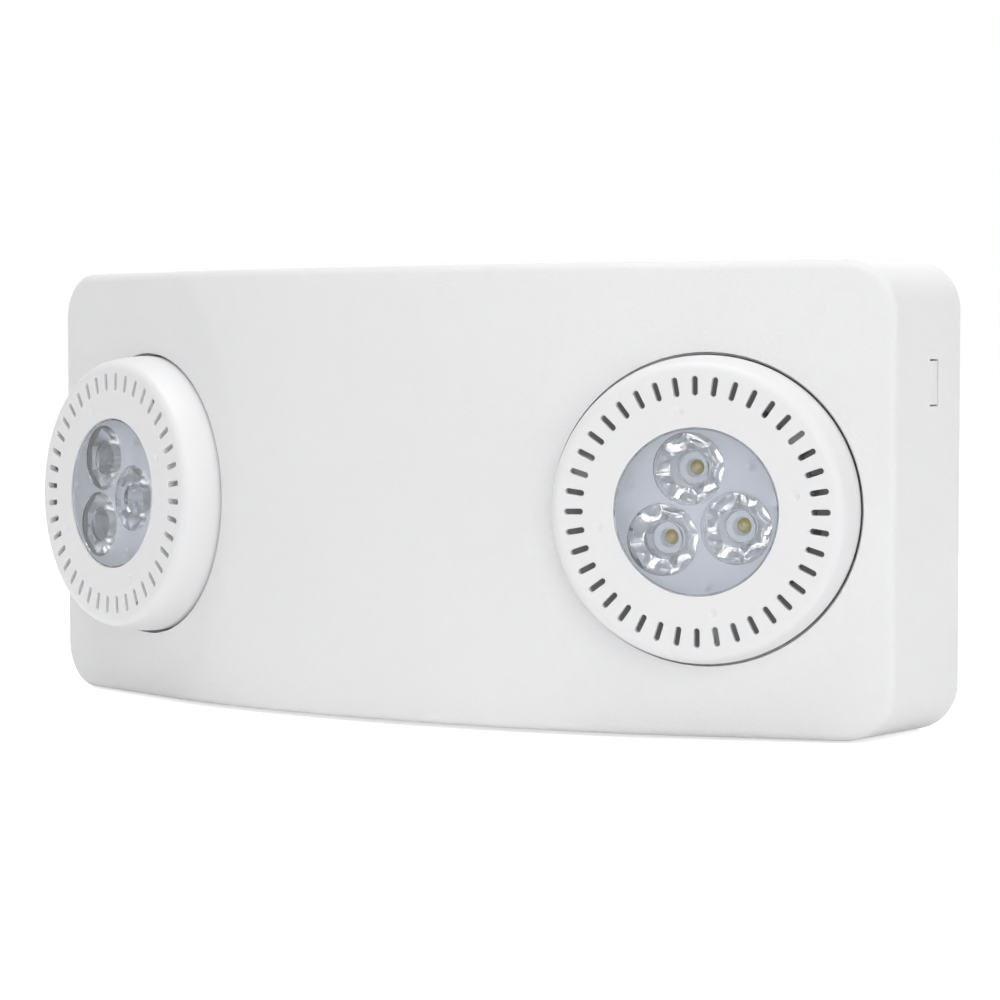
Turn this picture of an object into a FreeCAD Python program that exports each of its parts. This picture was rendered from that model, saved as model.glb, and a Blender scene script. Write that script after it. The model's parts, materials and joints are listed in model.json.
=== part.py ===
import FreeCAD, Part
import math
import os
from FreeCAD import Placement, Rotation, Vector

# Twin-head emergency light for a wall. A crowned cover snaps over a back plate that
# carries the battery and the control board. Two ball-shaped lamp heads sit in the
# cover's angled end facets, where each one swivels in a ring and tilts in that ring.
# Frame: the origin is the centre of the wall face, +X is right, -Y comes out of the
# wall and +Z is up. Sizes are in mm and angles in degrees.

# Cover: outer form
COVER_WIDTH = 296.0
COVER_HEIGHT = 133.0
END_DEPTH = 40.3
RIDGE_CUT = 14.73
CROWN_RADIUS_ACROSS = 318.0
CROWN_DROP = 4.73
FACET_ANGLE = 20.2
CORNER_RADIUS = 14.0
EDGE_RADIUS = 2.6
CREASE_RADIUS = 8.0
DRAFT_PER_MM = 0.015
COVER_WALL = 2.5
CROWN_SWEEP = 120.0
CROWN_REACH = 105.0

# Lamp head: a truncated ball whose centre lies on the facet
BALL_RADIUS = 42.5
FACE_HEIGHT = 13.6
HEAD_WALL = 2.2
RIM_RADIUS = 3.0
HEAD_END_MARGIN = 8.25
HEAD_DROP = 2.6
OPENING_GAP = 0.85
SEAM_DEPTH = 4.0
BACK_FLAT_CUT = 9.5
AIM_INWARD = 3.15
SPIN = {"left": 24.7, "right": 9.5}

# Vents and dimples in the lamp face
VENT_COUNT = 40
VENT_LENGTH = 5.3
VENT_WIDTH = 1.6
VENT_EDGE_RADIUS = 0.35
VENT_RIM_BAND = 3.365
DIMPLE_COUNT = 4
DIMPLE_BAND = 4.6
DIMPLE_RADIUS = 1.35
DIMPLE_DEPTH = 0.5

# Optic: a window disc with three collimators. A band is the room between two edges
LENS_COUNT = 3
LENS_EDGE_BAND = 1.2
LENS_SPACING = 0.4
LENS_HEIGHT = 9.6
LENS_FOOT_RADIUS = 4.4
LENS_FOOT_GAP = 0.2
LENS_WAIST = 0.62
LENS_WAIST_HEIGHT = 0.45
WELL_RADIUS = 4.5
WELL_DEPTH = 5.2
WELL_DOME = 0.8
POCKET_RADIUS = 2.9
POCKET_DEPTH = 3.2
WINDOW_BAND = 8.6
WINDOW_RECESS = 0.3
WINDOW_FLANGE = 2.0
FLANGE_THICKNESS = 1.4
WINDOW_GAP = 0.15
WINDOW_SEAT_WALL = 1.4
PEG_BAND = 3.1
PEG_RADIUS = 1.4

# Lamp board, chips and heat sink
CHIP_SIZE = 3.4
CHIP_HEIGHT = 1.0
DOME_RADIUS = 1.3
LAMP_BOARD_REACH = 1.0
BOARD_NOTCH_RADIUS = 1.8
BOARD_THICKNESS = 1.6
SINK_PLATE = 2.6
SINK_BOSS_GAP = 0.6
SINK_CORE_RADIUS = 9.0
SINK_FIN_COUNT = 24
SINK_FIN_DEPTH = 17.0
SINK_FIN_THICKNESS = 1.4
SINK_FIN_CUT_BACK = 7.0
SINK_FIN_CUT_HEIGHT = 6.0
BOARD_SCREW_BAND = 3.85
BOARD_SCREW_BITE = 1.5

# Swivel ring, retaining ring and their screws
SEAT_GAP = 0.3
RING_SETBACK = 0.4
SWIVEL_WALL = 2.8
JOURNAL_STEP = 0.7
SWIVEL_REAR_ANGLE = 56.0
COLLAR_WALL = 2.2
COLLAR_DEPTH = 7.8
FLANGE_REACH = 3.0
FLANGE_DEPTH = 2.0
PLAY = 0.2
RETAINER_THICKNESS = 2.5
RETAINER_MARGIN = 0.8
RETAINER_EAR_RADIUS = 4.2
RETAINER_BOSS_RADIUS = 3.6
RETAINER_BOSS_COUNT = 4
RETAINER_SCREW_BITE = 6.0
BOSS_MARGIN = 0.4
BOSS_FLOOR = 2.0
TRACK_ANGLE = 38.0
TRACK_WIDTH = 5.0
TRACK_END_ROOM = 0.8
TILT_TRAVEL = 12.0
TRACK_SCREW_RADIUS = 2.2
TRACK_SHANK_RADIUS = 1.6
TRACK_HEAD_RADIUS = 4.2
TRACK_HEAD_HEIGHT = 2.0
TRACK_HEAD_GAP = 0.25
TRACK_SCREW_DEPTH = 7.5
TRACK_BOSS_DEPTH = 8.0

# Rear of the lamp head
SEAM_GAP = 0.1
LIP_HEIGHT = 2.6
LIP_GAP = 0.15
LIP_WALL = 1.3
LIP_ROOT = 3.0
SINK_POST_RADIUS = 2.2
SINK_POST_CIRCLE = 6.0
LEAD_HOLE_RADIUS = 4.0
LEAD_HOLE_OFFSET = 13.0

# Small screws
SCREW_RADIUS = 1.4
SCREW_HEAD_RADIUS = 2.8
SCREW_HEAD_HEIGHT = 1.8
SCREW_HEAD_BEVEL = 0.8
SCREW_FIT = 0.05
SCREW_CLEARANCE = 0.3
POST_SCREW_LENGTH = 7.0
SHELL_BOSS_RADIUS = 3.2
SHELL_BOSS_BAND = 8.5
SHELL_SCREW_BITE = 7.0
SHELL_PILOT_TOP = 6.0
SCREW_HEAD_SINK = 0.8

# Back plate
PLATE_THICKNESS = 2.5
PLATE_GAP = 0.4
PLATE_RIM_HEIGHT = 7.0
PLATE_RIM_WALL = 1.8
BOX_HOLE_RADIUS = 2.4
BOX_HOLE_SPACING = 86.1
BOX_SLOT_LENGTH = 8.4
WIRE_HOLE_RADIUS = 9.0
KEYHOLE_HEAD_RADIUS = 4.6
KEYHOLE_SHANK_RADIUS = 2.3
KEYHOLE_RISE = 8.0
KEYHOLE_SPACING = 180.0
KEYHOLE_HEIGHT = 44.0
RIB_OFFSET = 80.0
RIB_THICKNESS = 1.6
RIB_HEIGHT = 3.0
RIB_END_GAP = 4.0
RIM_BREAK = 1.5

# Snap latches in the side walls
LATCH_HEIGHT_UP = 32.2
LATCH_DEPTH = 16.3
LATCH_WINDOW_LENGTH = 13.1
LATCH_WINDOW_WIDTH = 5.2
LATCH_GAP = 0.5
LATCH_ARM = 1.8
LATCH_TIP = 1.0
LATCH_INSET = 0.15
NOSE_RAMP_DEPTH = 1.2
NOSE_RAMP_RISE = 0.8

# Hooks on the back plate and lugs in the cover's bottom wall
HOOK_OFFSET = 62.0
HOOK_WIDTH = 12.0
HOOK_THICKNESS = 1.6
HOOK_SIDE_GAP = 0.5
HOOK_DEPTH = 8.4
LUG_HEIGHT = 3.0
LUG_BACK = 3.4
LUG_FRONT = 6.0

# Control board and what stands on it
STANDOFF_HEIGHT = 8.0
STANDOFF_RADIUS = 3.2
STANDOFF_MARGIN = 0.4
STANDOFF_FLOOR = 0.5
BAY_CLEARANCE = 3.0
BOARD_FLOOR_GAP = 3.4
BOARD_CORNER = 1.5
CORE_WIDTH = 34.0
CORE_HEIGHT = 28.0
CORE_STACK = 12.0
CORE_OFFSET = 20.9
CORE_RISE = 2.0
COIL_STACK = 22.0
COIL_GAP = 0.4
COIL_BORE_GAP = 0.3
COIL_CORNER = 2.0
COIL_LIFT = 0.2
CAPACITOR_RADIUS = 5.0
CAPACITOR_HEIGHT = 20.0
CAPACITOR_OFFSET = 12.2
CAPACITOR_DROP = 4.0
CAPACITOR_GAP = 3.0
CRIMP_HEIGHT = 2.8
CRIMP_WIDTH = 1.2
CRIMP_DEPTH = 0.7
TERMINAL_WIDTH = 24.0
TERMINAL_HEIGHT = 9.0
TERMINAL_DEPTH = 11.0
TERMINAL_POLES = 3
TERMINAL_SIDE_MARGIN = 8.0
TERMINAL_TOP_MARGIN = 0.5
TERMINAL_WELL_RADIUS = 2.0
TERMINAL_WELL_DEPTH = 4.0
TERMINAL_WIRE_HOLE = 4.4
TERMINAL_WIRE_BACK = 2.4
SOCKET_WIDTH = 7.0
SOCKET_HEIGHT = 5.5
SOCKET_DEPTH = 6.5
SOCKET_WALL = 0.9
SOCKET_FLOOR = 1.2
SOCKET_MARGIN = 15.0
SOCKET_PITCH = 11.0
SOCKET_EDGE = 0.6

# Battery: three cells side by side in one sleeve
CELL_RADIUS = 11.5
CELL_LENGTH = 34.0
CELL_COUNT = 3
CELL_CAP_RADIUS = 5.2
CELL_CAP_HEIGHT = 0.7
SLEEVE_HALF_DEPTH = 8.3
BATTERY_GAP = 0.3
STRAP_WIDTH = 12.0
STRAP_THICKNESS = 1.6
STRAP_FOOT = 8.0
STRAP_FOOT_MARGIN = 1.0
STRAP_POST_GAP = 1.0

# Test button and status lamp in the underside
BUTTON_X = -9.0
BUTTON_DEPTH = 20.0
BUTTON_RADIUS = 5.0
BUTTON_GAP = 0.3
BUTTON_RECESS = 0.3
BUTTON_FLANGE = 1.4
BUTTON_FLANGE_DEPTH = 1.2
BUTTON_TRAVEL = 0.6
BUTTON_EDGE = 0.5
BUTTON_DISH_RADIUS = 3.5
BUTTON_DISH_DEPTH = 0.4
STEM_RADIUS = 2.0
STEM_GAP = 0.05
SWITCH_SIZE = 6.2
SWITCH_HEIGHT = 4.0
SWITCH_MARGIN = 0.6
SWITCH_LEG_INSET = 0.8
SWITCH_LEG_RISE = 1.0
PLUNGER_RADIUS = 1.7
PLUNGER_REACH = 1.4
PLUNGER_SINK = 1.2
PLUNGER_PLAY = 0.08
STATUS_X = 9.0
STATUS_RADIUS = 2.5
STATUS_RECESS = 0.1
STATUS_FLANGE = 1.0
STATUS_LAMP_RADIUS = 1.5
STATUS_LAMP_HEIGHT = 4.2
STATUS_LAMP_LIFT = 0.2
STATUS_LAMP_GAP = 0.6
STATUS_FOOT_HEIGHT = 1.8

# How far a cutting tool runs past the faces that it cuts
PAST = 1.0

# Values worked out from the sizes above
TILT = math.radians(FACET_ANGLE)
OPENING_RADIUS = BALL_RADIUS + OPENING_GAP
END_HALF_WIDTH = COVER_WIDTH / 2 - DRAFT_PER_MM * END_DEPTH
HEAD_INSET = OPENING_RADIUS + HEAD_END_MARGIN
RIDGE_DEPTH = END_DEPTH + END_HALF_WIDTH * math.tan(TILT)
CROWN_DEPTH = RIDGE_DEPTH - RIDGE_CUT
CROWN_RADIUS_UP = ((COVER_HEIGHT / 2) ** 2 + CROWN_DROP ** 2) / (2 * CROWN_DROP)
HEAD_X = END_HALF_WIDTH - HEAD_INSET * math.cos(TILT)
HEAD_DEPTH = END_DEPTH + HEAD_INSET * math.sin(TILT)
SEAT_RADIUS = BALL_RADIUS + SEAT_GAP
SWIVEL_RADIUS = SEAT_RADIUS + SWIVEL_WALL
JOURNAL_RADIUS = SWIVEL_RADIUS + JOURNAL_STEP
COLLAR_BORE = JOURNAL_RADIUS + SEAT_GAP
COLLAR_RADIUS = COLLAR_BORE + COLLAR_WALL
FLANGE_RADIUS = JOURNAL_RADIUS + FLANGE_REACH
COLLAR_END = COVER_WALL + COLLAR_DEPTH
FLANGE_FRONT = COLLAR_END + PLAY
FLANGE_BACK = FLANGE_FRONT + FLANGE_DEPTH
RETAINER_FRONT = FLANGE_BACK + PLAY
RETAINER_BACK = RETAINER_FRONT + RETAINER_THICKNESS
RETAINER_RADIUS = FLANGE_RADIUS + RETAINER_MARGIN
RETAINER_BOSS_CIRCLE = RETAINER_RADIUS + RETAINER_BOSS_RADIUS + BOSS_MARGIN
BAY_HALF_WIDTH = HEAD_X - RETAINER_RADIUS * math.cos(TILT) - RETAINER_BACK * math.sin(TILT)
BOARD_BACK = PLATE_THICKNESS + STANDOFF_HEIGHT
BOARD_FRONT = BOARD_BACK + BOARD_THICKNESS
BOARD_HALF_WIDTH = BAY_HALF_WIDTH - BAY_CLEARANCE
BOARD_BOTTOM = -COVER_HEIGHT / 2 + COVER_WALL + BOARD_FLOOR_GAP
BOARD_TOP = -WIRE_HOLE_RADIUS - BAY_CLEARANCE
BOARD_MIDDLE = (BOARD_BOTTOM + BOARD_TOP) / 2
SWITCH_FLOOR = BOARD_BOTTOM + SWITCH_MARGIN
PLUNGER_BOTTOM = SWITCH_FLOOR - PLUNGER_REACH
LUG_TOP = -COVER_HEIGHT / 2 + COVER_WALL + LUG_HEIGHT
FACE_RADIUS = math.sqrt(BALL_RADIUS ** 2 - FACE_HEIGHT ** 2)
VENT_OUTER_RADIUS = FACE_RADIUS - VENT_RIM_BAND
VENT_INNER_RADIUS = VENT_OUTER_RADIUS - VENT_LENGTH
WINDOW_RADIUS = VENT_INNER_RADIUS - WINDOW_BAND
DIMPLE_CIRCLE = WINDOW_RADIUS + DIMPLE_BAND
LENS_REACH = WINDOW_RADIUS - LENS_EDGE_BAND
LENS_CIRCLE = (LENS_REACH + LENS_SPACING) / (1 + math.sin(math.pi / LENS_COUNT))
LENS_RADIUS = LENS_REACH - LENS_CIRCLE
PEG_CIRCLE = WINDOW_RADIUS - PEG_BAND
LAMP_BOARD_RADIUS = WINDOW_RADIUS + LAMP_BOARD_REACH
BOARD_SCREW_CIRCLE = LAMP_BOARD_RADIUS - BOARD_SCREW_BAND
SHELL_BOSS_CIRCLE = BALL_RADIUS - SHELL_BOSS_BAND
SINK_RADIUS = SHELL_BOSS_CIRCLE - SHELL_BOSS_RADIUS - SINK_BOSS_GAP
BACK_FLAT_DEPTH = BALL_RADIUS - BACK_FLAT_CUT
INNER_FACE = FACE_HEIGHT - HEAD_WALL
OPTIC_FRONT = FACE_HEIGHT - WINDOW_RECESS
OPTIC_BACK = INNER_FACE - FLANGE_THICKNESS
LENS_FOOT = OPTIC_BACK - LENS_HEIGHT
LAMP_BOARD_FRONT = LENS_FOOT
LAMP_BOARD_BACK = LAMP_BOARD_FRONT - BOARD_THICKNESS
SINK_PLATE_BACK = LAMP_BOARD_BACK - SINK_PLATE
SINK_BACK = SINK_PLATE_BACK - SINK_FIN_DEPTH
HEAD_INNER_RADIUS = BALL_RADIUS - HEAD_WALL
SCREW_WELL_REACH = SHELL_BOSS_CIRCLE + SCREW_HEAD_RADIUS + SCREW_CLEARANCE
SCREW_SEAT = SCREW_HEAD_HEIGHT + SCREW_HEAD_SINK - math.sqrt(BALL_RADIUS ** 2 - SCREW_WELL_REACH ** 2)


# Basic shapes

def face(points):
    return Part.Face(Part.makePolygon(points + points[:1]))


def flat_rod(radius, start, end, x=0.0, y=0.0):
    """Cylinder along local Z from start to end."""
    return Part.makeCylinder(radius, end - start, Vector(x, y, start))


def box(x0, x1, y0, y1, z0, z1):
    return Part.makeBox(x1 - x0, y1 - y0, z1 - z0, Vector(x0, y0, z0))


def rounded_box(x0, x1, y0, y1, z0, z1, radius):
    """Box with its edges along Y rounded."""
    solid = box(x0, x1, y0, y1, z0, z1)
    edges = [e for e in solid.Edges if abs(e.Vertexes[0].Y - e.Vertexes[-1].Y) > 1e-6]
    return solid.makeFillet(radius, edges)


def forward_rod(radius, x, z, back, front):
    """Cylinder that stands out of the wall, from one depth to another."""
    return Part.makeCylinder(radius, front - back, Vector(x, -back, z), Vector(0, -1, 0))


def turned(profile):
    """Solid turned about local Z. A step is a point (radius, height), or an arc's middle and end."""
    edges = []
    at = profile[0]
    closing = [] if profile[-1][-2:] == at else [at]
    for step in profile[1:] + closing:
        start = Vector(at[0], 0, at[1])
        at = step[-2:]
        end = Vector(at[0], 0, at[1])
        if len(step) == 4:
            edges.append(Part.Arc(start, Vector(step[0], 0, step[1]), end).toShape())
        else:
            edges.append(Part.LineSegment(start, end).toShape())
    return Part.Face(Part.Wire(edges)).revolve(Vector(0, 0, 0), Vector(0, 0, 1), 360)


def on_sphere(radius, degrees_back):
    """Point (radius, height) on a ball, at an angle behind its equator."""
    angle = math.radians(degrees_back)
    return (radius * math.cos(angle), -radius * math.sin(angle))


def at_height(radius, height):
    """Point (radius, height) where a ball has that height."""
    return (math.sqrt(radius * radius - height * height), height)


def sphere_arc(radius, start_height, end_height):
    """Arc step on a ball between two heights, for turned()."""
    start = math.asin(start_height / radius)
    end = math.asin(end_height / radius)
    middle = (start + end) / 2
    return (
        radius * math.cos(middle),
        radius * math.sin(middle),
        radius * math.cos(end),
        radius * math.sin(end),
    )


def around(shape, count, first=0.0):
    """Copies of a shape turned about local Z."""
    copies = []
    for k in range(count):
        copy = shape.copy()
        copy.rotate(Vector(0, 0, 0), Vector(0, 0, 1), first + k * 360.0 / count)
        copies.append(copy)
    return copies


def one_solid(shape):
    solids = shape.removeSplitter().Solids
    if len(solids) != 1:
        raise ValueError("a piece came out as %d solids" % len(solids))
    return solids[0]


# Places

def facet_place(side):
    """Head frame: local Z leaves the facet, local Y is up, the origin is the ball's centre."""
    sign = -1.0 if side == "left" else 1.0
    across = Vector(math.cos(TILT), sign * math.sin(TILT), 0)
    out = Vector(sign * math.sin(TILT), -math.cos(TILT), 0)
    turn = Rotation(across, Vector(0, 0, 1), out, "XYZ")
    return Placement(Vector(sign * HEAD_X, -HEAD_DEPTH, -HEAD_DROP), turn)


def ring_place(side):
    """The swivel ring stands turned by the head's spin."""
    spin = Placement(Vector(0, 0, 0), Rotation(Vector(0, 0, 1), SPIN[side]))
    return facet_place(side).multiply(spin)


def head_place(side):
    """The head is tilted in its ring, towards the middle of the light."""
    sign = 1.0 if side == "left" else -1.0
    lean = Placement(Vector(0, 0, 0), Rotation(Vector(0, 1, 0), sign * AIM_INWARD))
    return ring_place(side).multiply(lean)


def placed(shape, place):
    copy = shape.copy()
    copy.Placement = place.multiply(copy.Placement)
    return copy


# Cover

def side_half(depth, inset):
    return COVER_WIDTH / 2 - DRAFT_PER_MM * depth - inset


def height_half(depth, inset):
    return COVER_HEIGHT / 2 - DRAFT_PER_MM * depth - inset


def tapered_block(inset, front, back=0.0):
    """Four tapered walls with rounded corners, from the wall face forward."""
    rings = []
    for depth in (back, front):
        w = side_half(depth, inset)
        h = height_half(depth, inset)
        y = -depth
        rings.append([Vector(w, y, h), Vector(-w, y, h), Vector(-w, y, -h), Vector(w, y, -h)])
    rear, fore = rings
    faces = [face(rear[::-1]), face(fore)]
    for i in range(4):
        j = (i + 1) % 4
        faces.append(face([rear[i], rear[j], fore[j], fore[i]]))
    solid = Part.Solid(Part.Shell(faces))
    corners = [e for e in solid.Edges if abs(e.Vertexes[0].Y - e.Vertexes[-1].Y) > 1e-6]
    return solid.makeFillet(CORNER_RADIUS - inset, corners).Solids[0]


def facet_prism(inset):
    """Everything behind the two facet planes."""
    reach = COVER_WIDTH
    tall = COVER_HEIGHT

    def plane_y(x):
        return -(RIDGE_DEPTH - x * math.tan(TILT) - inset / math.cos(TILT))

    outline = [
        Vector(-reach, reach, -tall),
        Vector(reach, reach, -tall),
        Vector(reach, plane_y(reach), -tall),
        Vector(0, plane_y(0), -tall),
        Vector(-reach, plane_y(reach), -tall),
    ]
    return face(outline).extrude(Vector(0, 0, 2 * tall))


def crown_body(inset):
    """Barrel whose near side is the crown, curved across and up."""
    centre = -CROWN_DEPTH + CROWN_RADIUS_ACROSS
    tall = COVER_HEIGHT
    radius = CROWN_RADIUS_UP - inset

    def point(z):
        drop = radius - math.sqrt(radius * radius - z * z)
        return Vector(0, -CROWN_DEPTH + inset + drop, z)

    edges = [
        Part.Arc(point(-tall), point(0), point(tall)).toShape(),
        Part.LineSegment(point(tall), Vector(0, centre, tall)).toShape(),
        Part.LineSegment(Vector(0, centre, tall), Vector(0, centre, -tall)).toShape(),
        Part.LineSegment(Vector(0, centre, -tall), point(-tall)).toShape(),
    ]
    outline = Part.Face(Part.Wire(edges))
    outline.rotate(Vector(0, centre, 0), Vector(0, 0, 1), -CROWN_SWEEP / 2)
    return outline.revolve(Vector(0, centre, 0), Vector(0, 0, 1), CROWN_SWEEP)


def cover_block(inset):
    """The cover's form shrunk by an inset: facets at the ends, the crown between them."""
    deep = CROWN_DEPTH + COVER_WALL
    cap = box(-CROWN_REACH, CROWN_REACH, -2 * deep, -END_DEPTH, -COVER_HEIGHT, COVER_HEIGHT)
    cap = cap.cut(crown_body(inset))
    return one_solid(tapered_block(inset, 2 * deep).common(facet_prism(inset)).cut(cap))


def front_faces(solid):
    """The crown and the facets, the only faces that lie wholly ahead of the ends."""
    return [f for f in solid.Faces if f.BoundBox.YMax < -END_DEPTH + CREASE_RADIUS]


def softened(solid, crease, edge):
    """Fillets on the creases between crown and facets, then round the front."""
    def edges_shared(shape, times):
        faces = front_faces(shape)
        kept = []
        for e in shape.Edges:
            if sum(any(k.isSame(e) for k in f.Edges) for f in faces) == times:
                kept.append(e)
        return kept

    solid = solid.makeFillet(crease, edges_shared(solid, 2)).Solids[0]
    return solid.makeFillet(edge, edges_shared(solid, 1)).Solids[0]


def collar(side):
    """Ring wall behind the facet that the swivel ring turns in."""
    wall = flat_rod(COLLAR_RADIUS, -COLLAR_END, -COVER_WALL / 2)
    return placed(wall, facet_place(side))


def retainer_bosses(radius, start, end):
    rod = flat_rod(radius, start, end, RETAINER_BOSS_CIRCLE, 0)
    return around(rod, RETAINER_BOSS_COUNT, 180.0 / RETAINER_BOSS_COUNT)


def latch_windows():
    """Cuts through both side walls."""
    cuts = []
    deep = LATCH_WINDOW_WIDTH / 2
    tall = LATCH_WINDOW_LENGTH / 2
    for sign in (-1, 1):
        x = sign * side_half(LATCH_DEPTH, COVER_WALL / 2)
        reach = COVER_WALL / 2 + PAST
        cuts.append(box(x - reach, x + reach, -LATCH_DEPTH - deep, -LATCH_DEPTH + deep,
                        LATCH_HEIGHT_UP - tall, LATCH_HEIGHT_UP + tall))
    return cuts


def hook_lugs():
    """Lugs on the bottom wall that the back plate's hooks hold."""
    lugs = []
    floor = -height_half(PLATE_THICKNESS, COVER_WALL / 2)
    for sign in (-1, 1):
        x = sign * HOOK_OFFSET
        lugs.append(box(x - HOOK_WIDTH / 2, x + HOOK_WIDTH / 2, -LUG_FRONT, -LUG_BACK, floor, LUG_TOP))
    return lugs


def floor_hole(x, radius):
    """Hole through the bottom wall for the button or the status lamp."""
    start = Vector(x, -BUTTON_DEPTH, -COVER_HEIGHT / 2 - PAST)
    return Part.makeCylinder(radius + BUTTON_GAP, COVER_WALL + 3 * PAST, start)


def front_cover():
    outer = softened(cover_block(0.0), CREASE_RADIUS, EDGE_RADIUS)
    hollow = cover_block(COVER_WALL)
    shell = outer.cut(hollow)
    added = hook_lugs()
    cuts = latch_windows()
    for side in ("left", "right"):
        place = facet_place(side)
        added.append(collar(side).common(hollow))
        for boss in retainer_bosses(RETAINER_BOSS_RADIUS, -RETAINER_FRONT, -COVER_WALL / 2):
            added.append(placed(boss, place).common(hollow))
        cuts.append(placed(flat_rod(COLLAR_BORE, -COLLAR_END - PAST, -COVER_WALL), place))
        cuts.append(placed(flat_rod(OPENING_RADIUS, -COVER_WALL - PAST, CREASE_RADIUS), place))
        for pilot in retainer_bosses(SCREW_RADIUS, -RETAINER_FRONT - PAST, -COVER_WALL - BOSS_FLOOR):
            cuts.append(placed(pilot, place))
    cuts += [floor_hole(BUTTON_X, BUTTON_RADIUS), floor_hole(STATUS_X, STATUS_RADIUS)]
    return one_solid(shell.fuse(added).cut(cuts))


# Back plate

def slot_cut(x, z, radius, length):
    """Slot along X through the plate."""
    half = length / 2 - radius
    back, front = -PAST, PLATE_THICKNESS + PAST
    ends = [forward_rod(radius, x + s * half, z, back, front) for s in (-1, 1)]
    middle = box(x - half, x + half, -front, -back, z - radius, z + radius)
    return middle.fuse(ends)


def keyhole_cut(x):
    """Round hole for a screw head, with a narrow slot above it."""
    back, front = -PAST, PLATE_THICKNESS + PAST
    wide = forward_rod(KEYHOLE_HEAD_RADIUS, x, KEYHOLE_HEIGHT - KEYHOLE_RISE, back, front)
    top = forward_rod(KEYHOLE_SHANK_RADIUS, x, KEYHOLE_HEIGHT, back, front)
    neck = box(x - KEYHOLE_SHANK_RADIUS, x + KEYHOLE_SHANK_RADIUS, -front, -back,
               KEYHOLE_HEIGHT - KEYHOLE_RISE, KEYHOLE_HEIGHT)
    return wide.fuse([top, neck])


def latch_arm(sign):
    """Springy arm along the side wall, with a nose that fills the window."""
    tall = LATCH_WINDOW_LENGTH / 2 - LATCH_GAP
    deep = LATCH_WINDOW_WIDTH / 2 - LATCH_GAP / 2
    tip = LATCH_DEPTH + LATCH_WINDOW_WIDTH / 2 + LATCH_TIP
    inner = side_half(tip, COVER_WALL + PLATE_GAP)
    outer = side_half(LATCH_DEPTH + deep, LATCH_INSET)
    root = inner - LATCH_ARM / 2
    arm = box(inner - LATCH_ARM, inner, -tip, 0, LATCH_HEIGHT_UP - tall, LATCH_HEIGHT_UP + tall)
    y0 = -LATCH_DEPTH - deep
    y1 = -LATCH_DEPTH + deep
    slope = [
        Vector(root, y0, 0),
        Vector(outer - NOSE_RAMP_RISE, y0, 0),
        Vector(outer, y0 + NOSE_RAMP_DEPTH, 0),
        Vector(outer, y1, 0),
        Vector(root, y1, 0),
    ]
    nose = face(slope).extrude(Vector(0, 0, 2 * tall))
    nose.translate(Vector(0, 0, LATCH_HEIGHT_UP - tall))
    solid = arm.fuse(nose)
    if sign < 0:
        solid = solid.mirror(Vector(0, 0, 0), Vector(1, 0, 0))
    return solid


def bottom_hook(sign):
    """Hook that reaches over the cover's lug and down in front of it."""
    x = sign * HOOK_OFFSET
    half = HOOK_WIDTH / 2 - HOOK_SIDE_GAP
    top = LUG_TOP + PLATE_GAP + HOOK_THICKNESS
    low = -height_half(HOOK_DEPTH, COVER_WALL) + PLATE_GAP
    arm = box(x - half, x + half, -HOOK_DEPTH, 0, top - HOOK_THICKNESS, top)
    lip = box(x - half, x + half, -HOOK_DEPTH, -LUG_FRONT - SEAT_GAP, low, top)
    return arm.fuse(lip)


def board_posts():
    inset = STANDOFF_RADIUS + STANDOFF_MARGIN
    x = BOARD_HALF_WIDTH - inset
    return [(sx * x, z) for sx in (-1, 1) for z in (BOARD_BOTTOM + inset, BOARD_TOP - inset)]


def battery_centre():
    """Height of the battery's middle, between the wire hole and the top wall."""
    low = WIRE_HOLE_RADIUS + BAY_CLEARANCE
    high = COVER_HEIGHT / 2 - COVER_WALL - BOARD_FLOOR_GAP
    return (low + high) / 2


def strap_posts():
    x = CELL_COUNT * CELL_RADIUS + STRAP_FOOT / 2 + STRAP_POST_GAP
    return [(-x, battery_centre()), (x, battery_centre())]


def plate_outline(inset, front, back):
    return tapered_block(COVER_WALL + PLATE_GAP + inset, front, back)


def plate_rim():
    """Low wall round the plate, broken at the latches and the hooks."""
    front = PLATE_THICKNESS + PLATE_RIM_HEIGHT
    rim = plate_outline(0.0, front, PLATE_THICKNESS / 2)
    rim = rim.cut(plate_outline(PLATE_RIM_WALL, front + PAST, 0.0))
    wide = COVER_WIDTH
    tall = LATCH_WINDOW_LENGTH / 2 + RIM_BREAK
    breaks = [box(-wide, wide, -wide, -PLATE_THICKNESS, LATCH_HEIGHT_UP - tall, LATCH_HEIGHT_UP + tall)]
    half = HOOK_WIDTH / 2 + RIM_BREAK
    for x in (-HOOK_OFFSET, HOOK_OFFSET):
        breaks.append(box(x - half, x + half, -wide, -PLATE_THICKNESS, -wide, 0))
    return rim.cut(breaks)


def plate_rib(x):
    """Upright stiffening rib."""
    front = PLATE_THICKNESS + RIB_HEIGHT
    top = height_half(front, COVER_WALL + RIB_END_GAP)
    return box(x - RIB_THICKNESS / 2, x + RIB_THICKNESS / 2, -front, -PLATE_THICKNESS / 2, -top, top)


def back_plate():
    plate = plate_outline(0.0, PLATE_THICKNESS, 0.0)
    posts = board_posts() + strap_posts()
    added = [plate_rim()]
    cuts = [forward_rod(WIRE_HOLE_RADIUS, 0, 0, -PAST, PLATE_THICKNESS + PAST)]
    for sign in (-1, 1):
        added += [latch_arm(sign), bottom_hook(sign), plate_rib(sign * RIB_OFFSET)]
        cuts.append(slot_cut(sign * BOX_HOLE_SPACING / 2, 0, BOX_HOLE_RADIUS, BOX_SLOT_LENGTH))
        cuts.append(keyhole_cut(sign * KEYHOLE_SPACING / 2))
    for x, z in posts:
        added.append(forward_rod(STANDOFF_RADIUS, x, z, PLATE_THICKNESS / 2, BOARD_BACK))
        cuts.append(forward_rod(SCREW_RADIUS, x, z, PLATE_THICKNESS + STANDOFF_FLOOR, BOARD_BACK + PAST))
    return one_solid(plate.fuse(added).cut(cuts))


# Battery, strap and screws

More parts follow.
